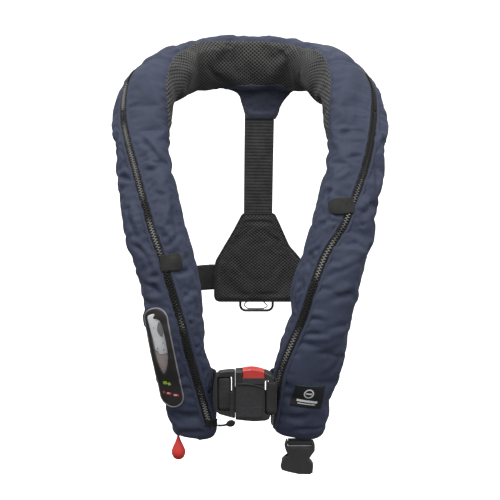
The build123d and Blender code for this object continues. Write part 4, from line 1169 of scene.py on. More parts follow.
RIGHT_OUT = [(0, 1, 0), (.5, 1, 0), (.8, .6, 0), (1, .3, 0), (1, 0, 0), (1, -.2, 0),
             (1, -.4, 0), (.7, -.8, 0), (.3, -1, 0), (.2, -1, 0)]
webbing("right_belt_webbing", RIGHT_BELT, RIGHT_OUT, 41, 1.5, nodes=("belt_right",))
webbing("right_belt_end_webbing",
        [(51.0, -217.2, -402.5), (37, -218.6, -402), (27.6, -222.8, -401.6), (24.2, -230, -401.4),
         (22.8, -240, -401.4), (22.6, -251.0, -401.4)],
        [(.1, -1, 0), (.2, -1, 0), (.8, -.8, 0), (1, -.3, 0), (1, 0, 0), (1, 0, 0)], 41, 1.5,
        nodes=("belt_right_end",))
# round the socket's end bar
webbing("right_belt_loop_webbing",
        [(21.6, -253.2, -401.4), (27.0, -252.9, -401.4), (30.2, -255.4, -401.4), (30.5, -263, -401.4),
         (30.2, -270.6, -401.4), (26.5, -272.4, -401.4), (21.2, -271.6, -401.4), (19.2, -268.6, -401.4),
         (19.0, -263.0, -401.4), (20.0, -256.5, -401.4)],
        [(0, 1, 0), (.3, 1, 0), (1, .6, 0), (1, 0, 0), (1, -.6, 0), (.3, -1, 0), (-.4, -1, 0), (-1, -.5, 0), (-1, 0, 0),
         (-1, .3, 0)], 41, 1.4, nodes=("belt_loop_right",), crown=0.0)
# over the tongue's bar and back behind the lobe, attached to no body
flex = webbing("left_belt_end_webbing",
               [(-60.6, -216.4, -402), (-50.5, -222, -401.5), (-45.2, -231, -401), (-43.0, -243.5, -400.2),
                (-41.0, -252.0, -399.4), (-37.6, -259.5, -398.6), (-34.9, -264.5, -398.2)],
               [(-.3, -1, 0), (-.7, -.7, 0), (-1, -.3, 0), (-1, -.1, 0), (-1, -.25, 0), (-.9, -.4, 0),
                (-.9, -.45, 0)], 41, 1.5, nodes=("belt_left_end",), ride=False)
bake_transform(flex)
webbing("left_belt_loop_webbing",
        [(-40.2, -260.6, -398.2), (-39.6, -264.8, -398.2), (-36.6, -266.7, -398.2), (-32.4, -267.1, -398.2),
         (-28.4, -266.8, -398.2), (-26.0, -265.3, -398.2), (-25.2, -262.8, -398.2), (-26.2, -260.2, -398.2),
         (-29.0, -259.3, -398.2), (-33.0, -259.2, -398.2), (-36.4, -259.4, -398.2)],
        [(-1, 0, 0), (-1, -.4, 0), (-.4, -1, 0), (0, -1, 0), (.2, -1, 0), (1, -.8, 0), (1, 0, 0), (1, .9, 0), (.2, 1, 0),
         (0, 1, 0), (-.1, 1, 0)], 41, 1.1, nodes=("belt_loop_left",), body="tongue", crown=0.0, step=0.5)


def box_piece(name, lo, hi, mat, body, bevel=0.25):
    v = [(x, y, z) for x in (lo[0], hi[0]) for y in (lo[1], hi[1]) for z in (lo[2], hi[2])]
    ob = new_mesh(name, v, [(0, 1, 3, 2), (4, 6, 7, 5), (0, 4, 5, 1), (2, 3, 7, 6), (0, 2, 6, 4), (1, 5, 7, 3)], smooth=False)
    fix_normals(ob)
    m = ob.modifiers.new("edge", "BEVEL")
    m.width = bevel * MM
    m.segments = 2
    apply_modifiers(ob)
    return finish_piece(ob, mat, body)


# the tongue's shoulder, which meets the socket's mouth
box_piece("tongue_shoulder", (-23.7, -267.1, -429.0), (-19.7, -259.2, -369.2), "black", "tongue")

webbing("back_strap_webbing", [(12.8, 31.3, -70), (12.6, 31.4, -84), (11.7, 33.6, -150), (11.0, 36.5, -222),
                               (11.0, 36.6, -224.9)], [(0, -1, 0)] * 5, 44, 1.7, mat="strap",
        nodes=("back_strap",), rib=4.9, rib_h=0.34, step=0.7)


# ------------------------------------------------------------------ yoke flap and pad at the back
def outline_pad(name, rows, y_front, y_back, nx, crown_f, crown_b, edge=1.2):
    """A closed pad between left and right edges given by height. rows: z, x left, x right."""
    z = np.array([r[0] for r in rows])
    xl = np.array([r[1] for r in rows])
    xr = np.array([r[2] for r in rows])
    nz = max(int(abs(z[-1] - z[0]) / 2.4), 8)
    q = np.linspace(0, 1, nz)
    zz = z[0] + (z[-1] - z[0]) * q
    L = np.interp(-zz, -z, xl)
    R = np.interp(-zz, -z, xr)
    f = np.linspace(0, 1, nx)
    X = L[:, None] + (R - L)[:, None] * f[None]
    Z = np.repeat(zz[:, None], nx, 1)
    de = np.minimum.reduce([X - L[:, None], R[:, None] - X, (zz[0] - Z), (Z - zz[-1])])
    rise = np.clip(de / 9.0, 0, 1)
    rise = np.sqrt(1 - (1 - rise) ** 2)
    mid = (y_front + y_back) / 2
    half = abs(y_back - y_front) / 2
    F = np.stack([X, mid - edge - (half - edge + crown_f) * rise, Z], -1)
    B = np.stack([X, mid + edge + (half - edge + crown_b) * rise, Z], -1)
    nf = nz * nx
    verts = np.concatenate([F.reshape(-1, 3), B.reshape(-1, 3)])
    faces = grid_faces(nz, nx) + [tuple(v + nf for v in g[::-1]) for g in grid_faces(nz, nx)]
    rim_ = [j for j in range(nx)] + [i * nx + nx - 1 for i in range(1, nz)] \
        + [(nz - 1) * nx + j for j in range(nx - 2, -1, -1)] + [i * nx for i in range(nz - 2, 0, -1)]
    for k in range(len(rim_)):
        a, b = rim_[k], rim_[(k + 1) % len(rim_)]
        faces.append((a, b, b + nf, a + nf))
    w = np.stack([np.tile(X.ravel(), 2), np.tile(Z.ravel(), 2), np.zeros(2 * nf)], -1)
    ob = new_mesh(name, verts, faces, weave=w)
    fix_normals(ob)
    pin = np.clip(1.4 - np.tile(de.ravel(), 2) / 5.0, 0, 1)
    return ob, pin, verts[rim_], len(rim_)


PAD_ROWS = [(-225.2, -12.2, 35.5), (-241, -20.2, 43.0), (-258, -29.5, 50.5), (-276, -40.2, 58.5),
            (-290, -48.3, 71.0), (-298, -53.0, 77.3), (-301.5, -54.5, 77.6), (-330, -55.8, 78.9),
            (-355, -56.8, 79.9), (-361.0, -56.2, 79.2), (-364.0, -52.0, 74.0)]
pad, pin, rim_pts, rim_n = outline_pad("back_pad_mesh", PAD_ROWS, 33.2, 40.6, 58, 0.6, 0.0)
cloth(pad, pin, pressure=1.2, grow=0.03, frames=12, cap=2.2, base=0.05)
subdivide(pad, 1)
finish_piece(pad, "pad", "root", ("back_pad",))
# binding tape round the pad's edge
mid_y = 36.9
edge_line = np.array([(p[0], mid_y, p[2]) for p in rim_pts])
cen = edge_line.mean(0)


def tube_along(name, line, r_out, r_thick, mat, closed=True, body="root", normals=None, nodes=(), seg=8):
    """A rounded cord or binding along a line. r_out in the line's plane, r_thick across it."""
    p = np.asarray(line, float)
    if closed:
        t = unit(np.roll(p, -1, 0) - np.roll(p, 1, 0))
    else:
        t = unit(np.gradient(p, axis=0))
    n_ = np.asarray(normals, float)
    if n_.ndim == 1:
        n_ = np.repeat(n_[None], len(p), 0)
    n_ = unit(n_ - t * (n_ * t).sum(-1, keepdims=True))
    b_ = np.cross(t, n_)
    ang = np.linspace(0, 2 * math.pi, seg, endpoint=False)
    pts = p[:, None] + b_[:, None] * (np.cos(ang) * r_out)[None, :, None] + n_[:, None] * (np.sin(ang) * r_thick)[None, :, None]
    nr_ = len(p)
    if closed:
        fs = []
        for i in range(nr_):
            for j in range(seg):
                k, l = (j + 1) % seg, (i + 1) % nr_
                fs.append((i * seg + j, i * seg + k, l * seg + k, l * seg + j))
    else:
        fs = grid_faces(nr_, seg, wrap=True) + [tuple(range(seg)), tuple((nr_ - 1) * seg + j for j in range(seg))[::-1]]
    s = np.concatenate([[0], np.cumsum(np.linalg.norm(np.diff(p, axis=0), axis=1))])
    w = np.stack([np.repeat(s[:, None], seg, 1), np.repeat((ang * r_thick)[None], nr_, 0), np.zeros((nr_, seg))], -1)
    ob = new_mesh(name, pts.reshape(-1, 3), fs, weave=w.reshape(-1, 3))
    fix_normals(ob)
    return finish_piece(ob, mat, body, nodes)


def even_loop(line, step):
    p = np.concatenate([line, line[:1]])
    s = np.concatenate([[0], np.cumsum(np.linalg.norm(np.diff(p, axis=0), axis=1))])
    e = np.linspace(0, s[-1], max(int(s[-1] / step), 8), endpoint=False)
    return np.stack([np.interp(e, s, p[:, i]) for i in range(3)], -1)


el = even_loop(edge_line, 2.5)
for _ in range(2):
    el = (np.roll(el, 1, 0) + np.roll(el, -1, 0) + 2 * el) / 4
tube_along("back_pad_binding", el, 1.7, 3.4, "web", normals=(0, 1, 0), seg=10)
inner = even_loop(cen + (edge_line - cen) * np.array([0.945, 1, 0.94]), 2.0)
inner[:, 1] = 33.3
stitches("back_pad_stitch", np.concatenate([inner, inner[:1]]), np.repeat([[0, -1, 0]], len(inner) + 1, 0),
         "black_thread")

YOKE_ROWS = [(-32.0, -52, 72), (-35.5, -38, 66.5), (-38.6, -28, 63.7), (-41.5, -22, 60.0), (-46.1, -17.8, 55.5), (-52, -15.8, 50.5), (-57, -14.4, 46.9),
             (-62, -12.7, 44.5), (-68, -11.0, 42.4), (-74.5, -9.0, 40.1), (-80.1, -7.4, 36.5)]
yoke, pin, rim_pts, _ = outline_pad("yoke_flap_cloth", YOKE_ROWS, 27.8, 29.9, 44, 0.5, 0.2, 0.6)
cloth(yoke, pin * 0.5, pressure=0.25, grow=0.05, frames=12, cap=1.8, base=0.08)
subdivide(yoke, 1)
finish_piece(yoke, "yoke", "root", ("yoke_flap",))
ys = np.array([(-5.6, 27.3, -77.2), (12, 27.3, -77.6), (34.6, 27.3, -77.0)])
q = np.linspace(0, 2, 40)
stitches("yoke_stitch", cr(ys, q), np.repeat([[0, -1, 0]], 40, 0), "thread")

# ------------------------------------------------------------------ inspection panel and window
panel_a, panel_b = np.array([-116.1, -308.2]), np.array([-98.8, -407.6])


def capsule_outline(r, count=128):
    d = unit(panel_b - panel_a)
    e = np.array([-d[1], d[0]])
    L = np.linalg.norm(panel_b - panel_a)
    per = 2 * L + 2 * math.pi * r
    out = []
    for k in range(count):
        s = per * k / count
        if s < L:
            out.append(panel_a + e * r + d * s)
        elif s < L + math.pi * r:
            a = (s - L) / r
            out.append(panel_b + e * r * math.cos(a) + d * r * math.sin(a))
        elif s < 2 * L + math.pi * r:
            out.append(panel_b - e * r - d * (s - L - math.pi * r))
        else:
            a = (s - 2 * L - math.pi * r) / r
            out.append(panel_a - e * r * math.cos(a) - d * r * math.sin(a))
    return np.array(out)


def lens_outline(directions):
    """Window outline hit from its middle in the given directions."""
    c = np.array([-112.6, -338.0])
    out = []
    for d in directions:
        lo, hi = 0.0, 60.0
        for _ in range(26):
            m = (lo + hi) / 2
            p = c + d * m
            v, _g = lens_distance(np.array([p[0]]), np.array([p[1]]))
            if v[0] < 0:
                lo = m
            else:
                hi = m
        out.append(c + d * lo)
    return np.array(out)


CAP = capsule_outline(13.6)
LC = np.array([-112.6, -338.0])
LENS = lens_outline(unit(CAP - LC))


def lay(xz, lift, rounds=2):
    """Puts rings of X, Z points on the cover's front."""
    p = np.array([[on_front(x, z)[0] for x, z in ring] for ring in xz])
    n_ = np.array([[on_front(x, z)[1] for x, z in ring] for ring in xz])
    for _ in range(rounds):
        y = p[..., 1]
        y = (np.roll(y, 1, 1) + np.roll(y, -1, 1) + 2 * y) / 4
        p[..., 1] = y
        n_ = unit((np.roll(n_, 1, 1) + np.roll(n_, -1, 1) + 2 * n_))
    return p + n_ * np.asarray(lift)[..., None, None] if np.ndim(lift) else p + n_ * lift, n_


rings, lifts = [], []
for f, h in ((0.0, 0.0), (0.0, 1.35), (0.06, 1.65), (0.2, 1.75), (0.4, 1.75), (0.6, 1.75), (0.8, 1.75), (0.94, 1.7),
             (1.0, 1.35), (1.0, -0.6)):
    rings.append(CAP * (1 - f) + LENS * f)
    lifts.append(h)
rp = np.array(rings)
P_, N_ = lay(rp, 0.0, 6)
P_ = P_ + N_ * np.array(lifts)[:, None, None]
ob = new_mesh("inspection_panel_film", P_.reshape(-1, 3), grid_faces(len(rings), len(CAP), wrap=True))
fix_normals(ob)
finish_piece(ob, "panel", "root", ("inspection_panel",))
# grey piping round it
pc_, pn_ = lay(capsule_outline(14.4, 160)[None], 0.9, 6)
tube_along("panel_piping_cord", pc_[0], 1.0, 1.0, "piping", normals=pn_[0], nodes=("panel_piping",), seg=10)
# clear window
wr = []
for f in (1.0, 0.8, 0.6, 0.4, 0.2, 0.04):
    wr.append(LC + (LENS - LC) * f)
wp, wn = lay(np.array(wr), 0.0, 8)
wl = np.array([0.9, 1.1, 1.2, 1.25, 1.3, 1.3])[:, None, None]
wp = wp + wn * wl
fs = grid_faces(len(wr), len(LENS), wrap=True) + [tuple((len(wr) - 1) * len(LENS) + j for j in range(len(LENS)))]
ob = new_mesh("inspection_window_film", wp.reshape(-1, 3), fs)
fix_normals(ob)
finish_piece(ob, "film", "root", ("panel_window",))
ob.data.materials[0] = M["film"]


PANEL_BVH = BVHTree.FromPolygons([Vector(v) for v in P_.reshape(-1, 3)], grid_faces(len(rings), len(CAP), wrap=True))
PLACE = {"panel": PANEL_BVH}


def decal(name, poly, lift, mat, thick=0.12, body="root", on="panel"):
    """A thin printed mark lying on the panel or the patch: a filled outline in X, Z."""
    p = np.array(poly, float)
    c = p.mean(0)
    rr = [p, c + (p - c) * 0.5, c + (p - c) * 0.05]
    pp, nn = [], []
    for ring_ in rr:
        row_p, row_n = [], []
        for x, z in ring_:
            hit = PLACE[on].ray_cast(Vector((x, -400, z)), Vector((0, 1, 0)))
            if hit[0] is None:
                hit = PLACE[on].find_nearest(Vector((x, -262, z)))
            n_ = hit[1] if hit[1].y < 0 else -hit[1]
            row_p.append(tuple(hit[0]))
            row_n.append(tuple(n_))
        pp.append(row_p)
        nn.append(row_n)
    pp, nn = np.array(pp), np.array(nn)
    top = pp + nn * (lift + thick)
    bot = pp[:1] + nn[:1] * lift
    k = len(p)
    verts = np.concatenate([bot.reshape(-1, 3), top.reshape(-1, 3)])
    fs = grid_faces(4, k, wrap=True) + [tuple(3 * k + j for j in range(k))]
    ob = new_mesh(name, verts, fs, smooth=False)
    fix_normals(ob)
    return finish_piece(ob, mat, body)


def rounded(cx, cz, w, h, r, turn=0.0, seg=4):
    out = []
    for qx, qz, a0 in ((1, 1, 0), (-1, 1, 90), (-1, -1, 180), (1, -1, 270)):
        for k in range(seg + 1):
            a = math.radians(a0 + 90 * k / seg)
            out.append((qx * (w / 2 - r) + r * math.cos(a), qz * (h / 2 - r) + r * math.sin(a)))
    ca, sa = math.cos(math.radians(turn)), math.sin(math.radians(turn))
    return [(cx + x * ca - z * sa, cz + x * sa + z * ca) for x, z in out]


# generic status marks: a green bar and a row of red and white bars
decal("mark_green_a", rounded(-107.4, -390.2, 4.8, 4.4, 0.9, 8), 0.02, "green")
decal("mark_green_b", rounded(-102.2, -391.2, 3.6, 4.0, 0.9, 28), 0.02, "green")
decal("mark_red_a", rounded(-109.2, -403.6, 3.2, 3.2, 0.7, 3), 0.02, "red_print")
decal("mark_red_b", rounded(-102.8, -404.8, 6.4, 3.2, 0.8, 3), 0.02, "red_print")
decal("mark_white_b", rounded(-103.4, -404.2, 3.4, 1.3, 0.4, 3), 0.16, "white_print")
decal("mark_red_c", rounded(-93.6, -405.6, 7.4, 3.2, 0.8, 2), 0.02, "red_print")
decal("mark_white_c", rounded(-94.2, -405.8, 3.6, 1.4, 0.4, 2), 0.16, "white_print")


def plate(name, knots, y_front, y_back, mat, bevel=0.5, count=72, bulge=0.0, body="root"):
    """A moulded plate seen from the front: its outline in X, Z, with a rounded front edge."""
    c2 = closed_curve(knots, count)
    ctr = c2.mean(0)
    rows, ys = [], []
    for k, y in ((1.0, y_back), (1.0, y_front + bevel), (0.985, y_front + bevel * 0.3), (0.95, y_front), (0.6, y_front - bulge),
                 (0.2, y_front - bulge * 1.2)):
        rows.append(ctr + (c2 - ctr) * k)
        ys.append(y)
    v = np.array([[(x, y, z) for x, z in r] for r, y in zip(rows, ys)])
    n_ = len(c2)
    fs = grid_faces(len(rows), n_, wrap=True) + [tuple(range(n_)), tuple((len(rows) - 1) * n_ + j for j in range(n_))]
    w = np.stack([v[..., 0], v[..., 2], v[..., 1]], -1)
    ob = new_mesh(name, v.reshape(-1, 3), fs, weave=w.reshape(-1, 3))
    fix_normals(ob)
    return finish_piece(ob, mat, body)


# what shows through the window: the inflator's plate, its dial and screws, and a fold of the bladder
plate("bladder_fold", [(-127, -331), (-118, -329), (-108, -330), (-101.6, -338), (-100.4, -356), (-102.6, -374),
                       (-107.2, -380), (-112.4, -376.5), (-118, -363), (-123, -347)], -249.4, -247.9, "bladder",
      0.8, 90, 1.4)
plate("inflator_front_plate", [(-126.8, -306.0), (-124.6, -302.6), (-118.6, -300.6), (-111.8, -302.4), (-108.2, -307.4),
                               (-106.0, -318.8), (-103.6, -331.3), (-101.8, -341.8), (-101.6, -349.4), (-103.6, -351.3),
                               (-111.1, -352.7), (-113.9, -351.5), (-114.6, -348.9), (-117.6, -347.6), (-118.9, -343.9),
                               (-120.6, -334.2), (-123.6, -321.0)], -252.2, -249.9, "inflator", 0.7, 110, 0.3)
plate("inflator_dial", [(-112.8, -311.0), (-110.4, -311.1), (-108.9, -316.7), (-108.0, -324.2), (-109.3, -329.2),
                        (-111.8, -327.9), (-114.5, -323.3), (-115.3, -318.6), (-114.3, -313.9)], -253.4, -252.2,
      "indicator", 0.5, 48, 0.2)
for k, (x, z) in enumerate(((-108.3, -337.4), (-107.7, -345.8), (-115.1, -344.5), (-119.4, -318.0))):
    plate(f"inflator_screw_{k}", [(x + 0.85 * math.cos(a), z + 0.85 * math.sin(a)) for a in np.linspace(0, 2 * math.pi, 8, endpoint=False)],
          -252.9, -252.2, "screw", 0.3, 16)

# ------------------------------------------------------------------ tabs over the zippers and the patch
def cloth_tab(name, poly_fn, nx, nz, thick, mat, nodes, lift=2.4, rounds=10, rib=1.6, rib_h=0.08):
    """A rectangle of webbing laid over the front: poly_fn(u, v) gives X, Z for u, v in 0..1."""
    u = np.linspace(0, 1, nx)
    v = np.linspace(0, 1, nz)
    g = np.array([[poly_fn(a, b) for a in u] for b in v])
    p = np.array([[on_front(x, z)[0] for x, z in row] for row in g])
    n_ = np.array([[on_front(x, z)[1] for x, z in row] for row in g])
    p = smooth_patch(p, rounds)
    for _ in range(rounds):
        n_[1:-1] = unit(n_[:-2] + n_[2:] + 2 * n_[1:-1])
        n_[:, 1:-1] = unit(n_[:, :-2] + n_[:, 2:] + 2 * n_[:, 1:-1])
    de = np.minimum.reduce([u[None] * np.ones((nz, 1)), 1 - u[None] * np.ones((nz, 1)),
                            v[:, None] * np.ones((1, nx)), 1 - v[:, None] * np.ones((1, nx))])
    edge = np.clip(de / 0.05, 0, 1)
    rr = np.sin(np.arange(nz)[:, None] * 2 * math.pi / 3.0) * rib_h
    top = p + n_ * (lift + thick * (0.35 + 0.65 * np.sqrt(edge)) + rr * edge)[..., None]
    bot = p + n_ * (lift - 0.0)
    k = nx * nz
    faces = grid_faces(nz, nx) + [tuple(q_ + k for q_ in f[::-1]) for f in grid_faces(nz, nx)]
    rim_ = [j for j in range(nx)] + [i * nx + nx - 1 for i in range(1, nz)] \
        + [(nz - 1) * nx + j for j in range(nx - 2, -1, -1)] + [i * nx for i in range(nz - 2, 0, -1)]
    for a in range(len(rim_)):
        x, y = rim_[a], rim_[(a + 1) % len(rim_)]
        faces.append((x, y, y + k, x + k))
    w = np.tile(np.concatenate([g, np.zeros((nz, nx, 1))], -1).reshape(-1, 3), (2, 1))
    ob = new_mesh(name, np.concatenate([top.reshape(-1, 3), bot.reshape(-1, 3)]), faces, weave=w)
    fix_normals(ob)
    finish_piece(ob, mat, "root", nodes)
    return top, n_


def rect_fn(cx, cz, w, h, turn, round_left=0.0, round_right=0.0):
    ca, sa = math.cos(math.radians(turn)), math.sin(math.radians(turn))

    def fn(u, v):
        x, z = (u - 0.5) * w, (0.5 - v) * h
        k = abs(2 * v - 1)
        x += round_left * (1 - u) * k ** 4 - round_right * u * k ** 4
        return (cx + x * ca - z * sa, cz + x * sa + z * ca)
    return fn


for name, args, node_name in (("left_zip_tab", (-98.2, -239.2, 26.5, 20.0, 7, 1.5, 3.5), "tab_left"),
                              ("right_zip_tab", (112.3, -174.6, 31.0, 19.0, 3, 6.5, 1.5), "tab_right")):
    top, n_ = cloth_tab(name, rect_fn(*args), 26, 25, 1.0, "tab", (node_name,), lift=2.0)
    nx, nz = top.shape[1], top.shape[0]
    i0, i1, j0, j1 = 2, nz - 3, 3, nx - 4
    loop = [(i0, j) for j in range(j0, j1)] + [(i, j1) for i in range(i0, i1)] \
        + [(i1, j) for j in range(j1, j0, -1)] + [(i, j0) for i in range(i1, i0 - 1, -1)]
    stitches(name + "_stitch", [top[i, j] for i, j in loop], [n_[i, j] for i, j in loop], "black_thread")

PATCH = np.array([(55.5, -388.6), (92.0, -393.0), (87.6, -424.0), (47.6, -417.3)])


def patch_fn(u, v):
    a = PATCH[0] * (1 - u) + PATCH[1] * u
    b = PATCH[3] * (1 - u) + PATCH[2] * u
    return tuple(a * (1 - v) + b * v)


patch_top, _pn = cloth_tab("plain_patch", patch_fn, 34, 30, 0.7, "patch", ("patch",), lift=0.3, rounds=6, rib_h=0.0)


PLACE["patch"] = BVHTree.FromPolygons([Vector(v) for v in patch_top.reshape(-1, 3)],
                                      grid_faces(patch_top.shape[0], patch_top.shape[1]))


def patch_poly(pts):
    return [patch_fn(u, v) for u, v in pts]


def ring_poly(cu, cv, r, count=28):
    return [(cu + r * math.cos(2 * math.pi * k / count), cv - 1.25 * r * math.sin(2 * math.pi * k / count)) for k in range(count)]


# generic mark: a disc with a bar across it, and a plain line under it
decal("patch_disc", patch_poly(ring_poly(0.50, 0.36, 0.165)), 0.02, "white_print", on="patch")
decal("patch_disc_inner", patch_poly(ring_poly(0.50, 0.36, 0.122)), 0.16, "patch", on="patch")
decal("patch_disc_bar", patch_poly([(0.405, 0.33), (0.595, 0.33), (0.595, 0.39), (0.405, 0.39)]), 0.30, "white_print",
      on="patch")
decal("patch_line_a", patch_poly([(0.17 + 0.66 * k / 8, 0.67) for k in range(9)] + [(0.83 - 0.66 * k / 8, 0.76) for k in range(9)]),
      0.02, "white_print", on="patch")
decal("patch_line_b", patch_poly([(0.22 + 0.56 * k / 8, 0.82) for k in range(9)] + [(0.78 - 0.56 * k / 8, 0.855) for k in range(9)]),
      0.02, "white_print", on="patch")

# the zipper's garage at the lower left
cloth_tab("zip_garage_cloth", rect_fn(-49.4, -444.0, 16.5, 9.6, -4, 0.6, 1.2), 18, 16, 1.1, "tape",
          ("zip_garage",), lift=1.8, rounds=8)
# the seam where the flap joins the collar's lower edge
st = np.linspace(16.75, 19.95, 70)
sa = np.linspace(-0.86, 0.10, 12)
sg = []
for k, t_ in enumerate(st):
    row = []
    ends = min(k, 69 - k) / 12.0
    for q_ in sa:
        a_ = 2 * math.pi + (q_ if q_ > 0 else q_ * min(1.0, 0.35 + 0.65 * ends))
        p_, n_, _ = surf(t_, a_)
        h_, _n = BVH_near(p_, n_)
        row.append((h_, n_))
    sg.append(row)
sp = np.array([[c_[0] for c_ in r_] for r_ in sg])
sn = np.array([[c_[1] for c_ in r_] for r_ in sg])
for _ in range(3):
    sp[1:-1] = (sp[:-2] + sp[2:] + 2 * sp[1:-1]) / 4
de_ = np.minimum(np.arange(12), 11 - np.arange(12))[None, :, None]
top_ = sp + sn * (0.9 + 0.5 * np.minimum(de_, 2) / 2)
bot_ = sp - sn * 0.2
k_ = 70 * 12
fs = grid_faces(70, 12) + [tuple(q_ + k_ for q_ in f[::-1]) for f in grid_faces(70, 12)]
rim_ = [j for j in range(12)] + [i * 12 + 11 for i in range(1, 70)] + [69 * 12 + j for j in range(10, -1, -1)] + [i * 12 for i in range(68, 0, -1)]
for a_ in range(len(rim_)):
    x_, y_ = rim_[a_], rim_[(a_ + 1) % len(rim_)]
    fs.append((x_, y_, y_ + k_, x_ + k_))
w_ = np.tile(np.concatenate([sp[..., :1], sp[..., 2:], sp[..., 1:2]], -1).reshape(-1, 3), (2, 1))
ob = new_mesh("yoke_seam_facing", np.concatenate([top_.reshape(-1, 3), bot_.reshape(-1, 3)]), fs, weave=w_)
fix_normals(ob)
finish_piece(ob, "yoke", "root")

# the zipper's pull: a cord and its moulded end
zp = np.array([(-42.6, -243.0, -450.2), (-39.0, -243.0, -450.3), (-35.0, -243.1, -450.0), (-31.6, -243.0, -449.2),
               (-29.6, -243.0, -448.6), (-26.2, -243.0, -447.6), (-22.8, -243.0, -446.6), (-20.4, -243.0, -446.0)])
zr = [(1.45, 1.1), (1.4, 1.1), (1.4, 1.1), (1.6, 1.2), (3.5, 1.6), (4.7, 2.0), (3.9, 1.9), (1.5, 1.1)]
zq = np.linspace(0, len(zp) - 1, 60)
zc = cr(zp, zq)
zw = cr(np.array(zr), zq)
zt = unit(np.gradient(zc, axis=0))
zn = np.repeat(np.array([[0.0, -1.0, 0.0]]), 60, 0)
zb = unit(np.cross(zt, zn))
za = np.linspace(0, 2 * math.pi, 18, endpoint=False)
pts = zc[:, None] + zb[:, None] * (np.cos(za)[None, :] * zw[:, :1])[..., None] + zn[:, None] * (np.sin(za)[None, :] * zw[:, 1:])[..., None]
ob = new_mesh("zip_pull_moulded", pts.reshape(-1, 3), grid_faces(60, 18, wrap=True) + [tuple(range(18)), tuple(59 * 18 + j for j in range(18))[::-1]])
fix_normals(ob)
finish_piece(ob, "black_soft", "zip_tab", ("zip_pull",))

# dark webbing behind the slots of both halves
box_piece("tongue_slot_back", (-26.2, -267.0, -421.0), (-23.2, -259.8, -396.5), "web", "tongue", 0.3)
box_piece("tongue_slot_edge", (-41.4, -262.0, -421.0), (-38.2, -259.4, -375.5), "web", "tongue", 0.3)
box_piece("socket_slot_back", (12.8, -264.0, -422.0), (20.6, -259.4, -395.6), "web", "root", 0.3)
# lip under the button, and the raised line across the socket's face
box_piece("button_lip", (-11.2, -272.2, -383.4), (16.8, -270.9, -376.1), "black", "root", 0.3)
arc_pts = np.array([(-17.6, -272.4, -383.6), (-10.0, -272.4, -383.3), (-2.0, -272.4, -383.8), (6.0, -272.4, -385.2),
                    (12.4, -272.4, -387.2), (15.4, -272.4, -388.6)])
tube_along("socket_ridge", cr(arc_pts, np.linspace(0, 5, 40)), 0.75, 0.45, "black", closed=False,
           normals=(0, -1, 0), seg=10)
tube_along("socket_seam_low", cr(np.array([(-15.0, -272.25, -414.6), (0.0, -272.25, -414.9), (14.0, -272.25, -413.4)]),
                                 np.linspace(0, 2, 24)), 0.3, 0.2, "black", closed=False,
           normals=(0, -1, 0), seg=8)

# the eyelet's rolled edge
eye_pts = []
for k in range(20):
    ex, ey = hx + 3.2 * math.cos(k * math.pi / 10), hy + 3.2 * math.sin(k * math.pi / 10)
    hit = BVH.ray_cast(Vector((ex, ey, -600.0)), Vector((0, 0, 1)))
    eye_pts.append((ex, ey, hit[0].z if hit[0] is not None else -458.0))
tube_along("lanyard_eyelet", np.array(eye_pts), 0.8, 0.8, "cover", closed=True, normals=(0, 0, -1), seg=10)

# the handle's lanyard, from the lever down to the handle
lan_top, lan_len = (-93.4, -236.0, -366.65), 97.0
lan_curve = bpy.data.curves.new("handle_lanyard", "CURVE")
lan_curve.dimensions = "3D"
lan_curve.bevel_depth = 1.3 * MM
lan_curve.bevel_resolution = 5
lan_curve.use_fill_caps = True
lan_line = lan_curve.splines.new("POLY")
lan_line.points.add(24)
for k in range(25):
    lan_line.points[k].co = (lan_top[0] * MM, lan_top[1] * MM, (lan_top[2] - lan_len * k / 24) * MM, 1)
lan_ob = bpy.data.objects.new("handle_lanyard", lan_curve)
scene.collection.objects.link(lan_ob)
lan_curve.materials.append(M["red_cord"])
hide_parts("pull_lanyard")
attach(lan_ob, "handle")

# ------------------------------------------------------------------ CAD nodes that stay
KEEP = {
    "bladder": "bladder", "inflator_body": "inflator", "indicator": "indicator", "firing_cartridge": "warm",
    "gas_cylinder": "cylinder", "manifold_nut": "black_soft", "inflator_lever": "black_soft",
    "lever_pin": "steel", "pull_handle": "red",
    "zip_slider": "black", "wire_ring": "steel", "ring_link": "steel",
    "ring_loop": "web", "buckle_tongue": "black", "buckle_socket": "black", "release_button": "red",
    "button_spring": "steel", "crotch_buckle": "black_soft", "crotch_loop": "web", "oral_tube": "black_soft",
    "oral_mouthpiece": "black_soft", "oral_valve": "red", "oral_valve_spring": "steel", "whistle": "whistle",
}
for n_name, key in KEEP.items():
    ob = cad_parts[n_name]
    for i in range(max(1, len(ob.material_slots))):
        if len(ob.material_slots) == 0:
            ob.data.materials.append(M[key])
        else:
            ob.material_slots[i].material = M[key]

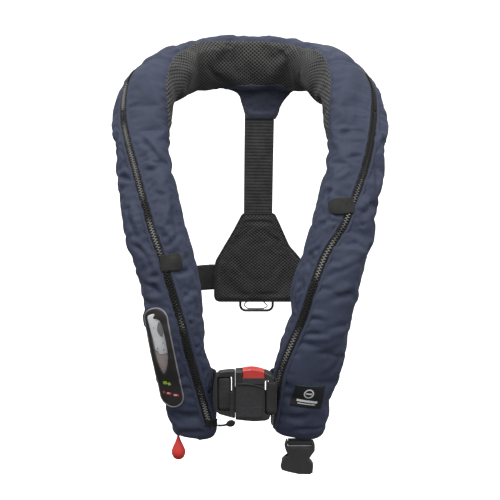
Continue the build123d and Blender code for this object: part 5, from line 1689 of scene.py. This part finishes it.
# ------------------------------------------------------------------ light and surroundings
world = bpy.data.worlds.new("studio")
scene.world = world
world.use_nodes = True
wt = world.node_tree
bg = wt.nodes["Background"]
wc = wt.nodes.new("ShaderNodeTexCoord")
wsep = wt.nodes.new("ShaderNodeSeparateXYZ")
wt.links.new(wc.outputs["Generated"], wsep.inputs[0])
wm = wt.nodes.new("ShaderNodeMapRange")
wm.inputs[1].default_value = -1.0
wm.inputs[2].default_value = 1.0
wt.links.new(wsep.outputs[2], wm.inputs[0])
wt.links.new(ramp(wt, wm.outputs[0], [(0.0, (0.08, 0.08, 0.08)), (0.40, (0.17, 0.17, 0.175)), (0.56, (0.32, 0.32, 0.33)),
                                      (1.0, (1.0, 1.0, 1.0))]), bg.inputs[0])
bg.inputs[1].default_value = 1.0

fm, fnt, fb = tree("studio_floor")
fb.inputs["Base Color"].default_value = (0.93, 0.93, 0.93, 1)
fb.inputs["Roughness"].default_value = 0.9
fb.inputs["Specular IOR Level"].default_value = 0.1
fb.inputs["Emission Color"].default_value = (1, 1, 1, 1)
fb.inputs["Emission Strength"].default_value = 0.95
verts, faces = [], []
prof = [(-4.0, -0.80)] + [(1.2, -0.80)] + [(1.2 + 1.5 * math.sin(a), 0.70 - 1.5 * math.cos(a)) for a in np.linspace(0.05, math.pi / 2, 18)] + [(2.7, 4.0)]
for y, z in prof:
    verts += [(-6000, y * 1000, z * 1000), (6000, y * 1000, z * 1000)]
floor = new_mesh("studio_sweep", verts, [(2 * k, 2 * k + 1, 2 * k + 3, 2 * k + 2) for k in range(len(prof) - 1)])
floor.data.materials.append(fm)
floor.visible_diffuse = False
floor.visible_glossy = False
floor.visible_shadow = False


def area(name, loc, target, size, power, colour=(1, 1, 1)):
    d = bpy.data.lights.new(name, "AREA")
    d.shape = "RECTANGLE"
    d.size, d.size_y = size
    d.energy = power
    d.color = colour
    o = bpy.data.objects.new(name, d)
    scene.collection.objects.link(o)
    o.location = loc
    o.rotation_euler = (Vector(target) - Vector(loc)).to_track_quat("-Z", "Y").to_euler()
    return o


area("top_soft", (-0.25, -0.75, 1.25), (0, -0.1, -0.2), (0.9, 0.7), 9)
area("key_soft", (0.9, -1.3, 0.9), (0, -0.15, -0.25), (0.6, 0.6), 4)
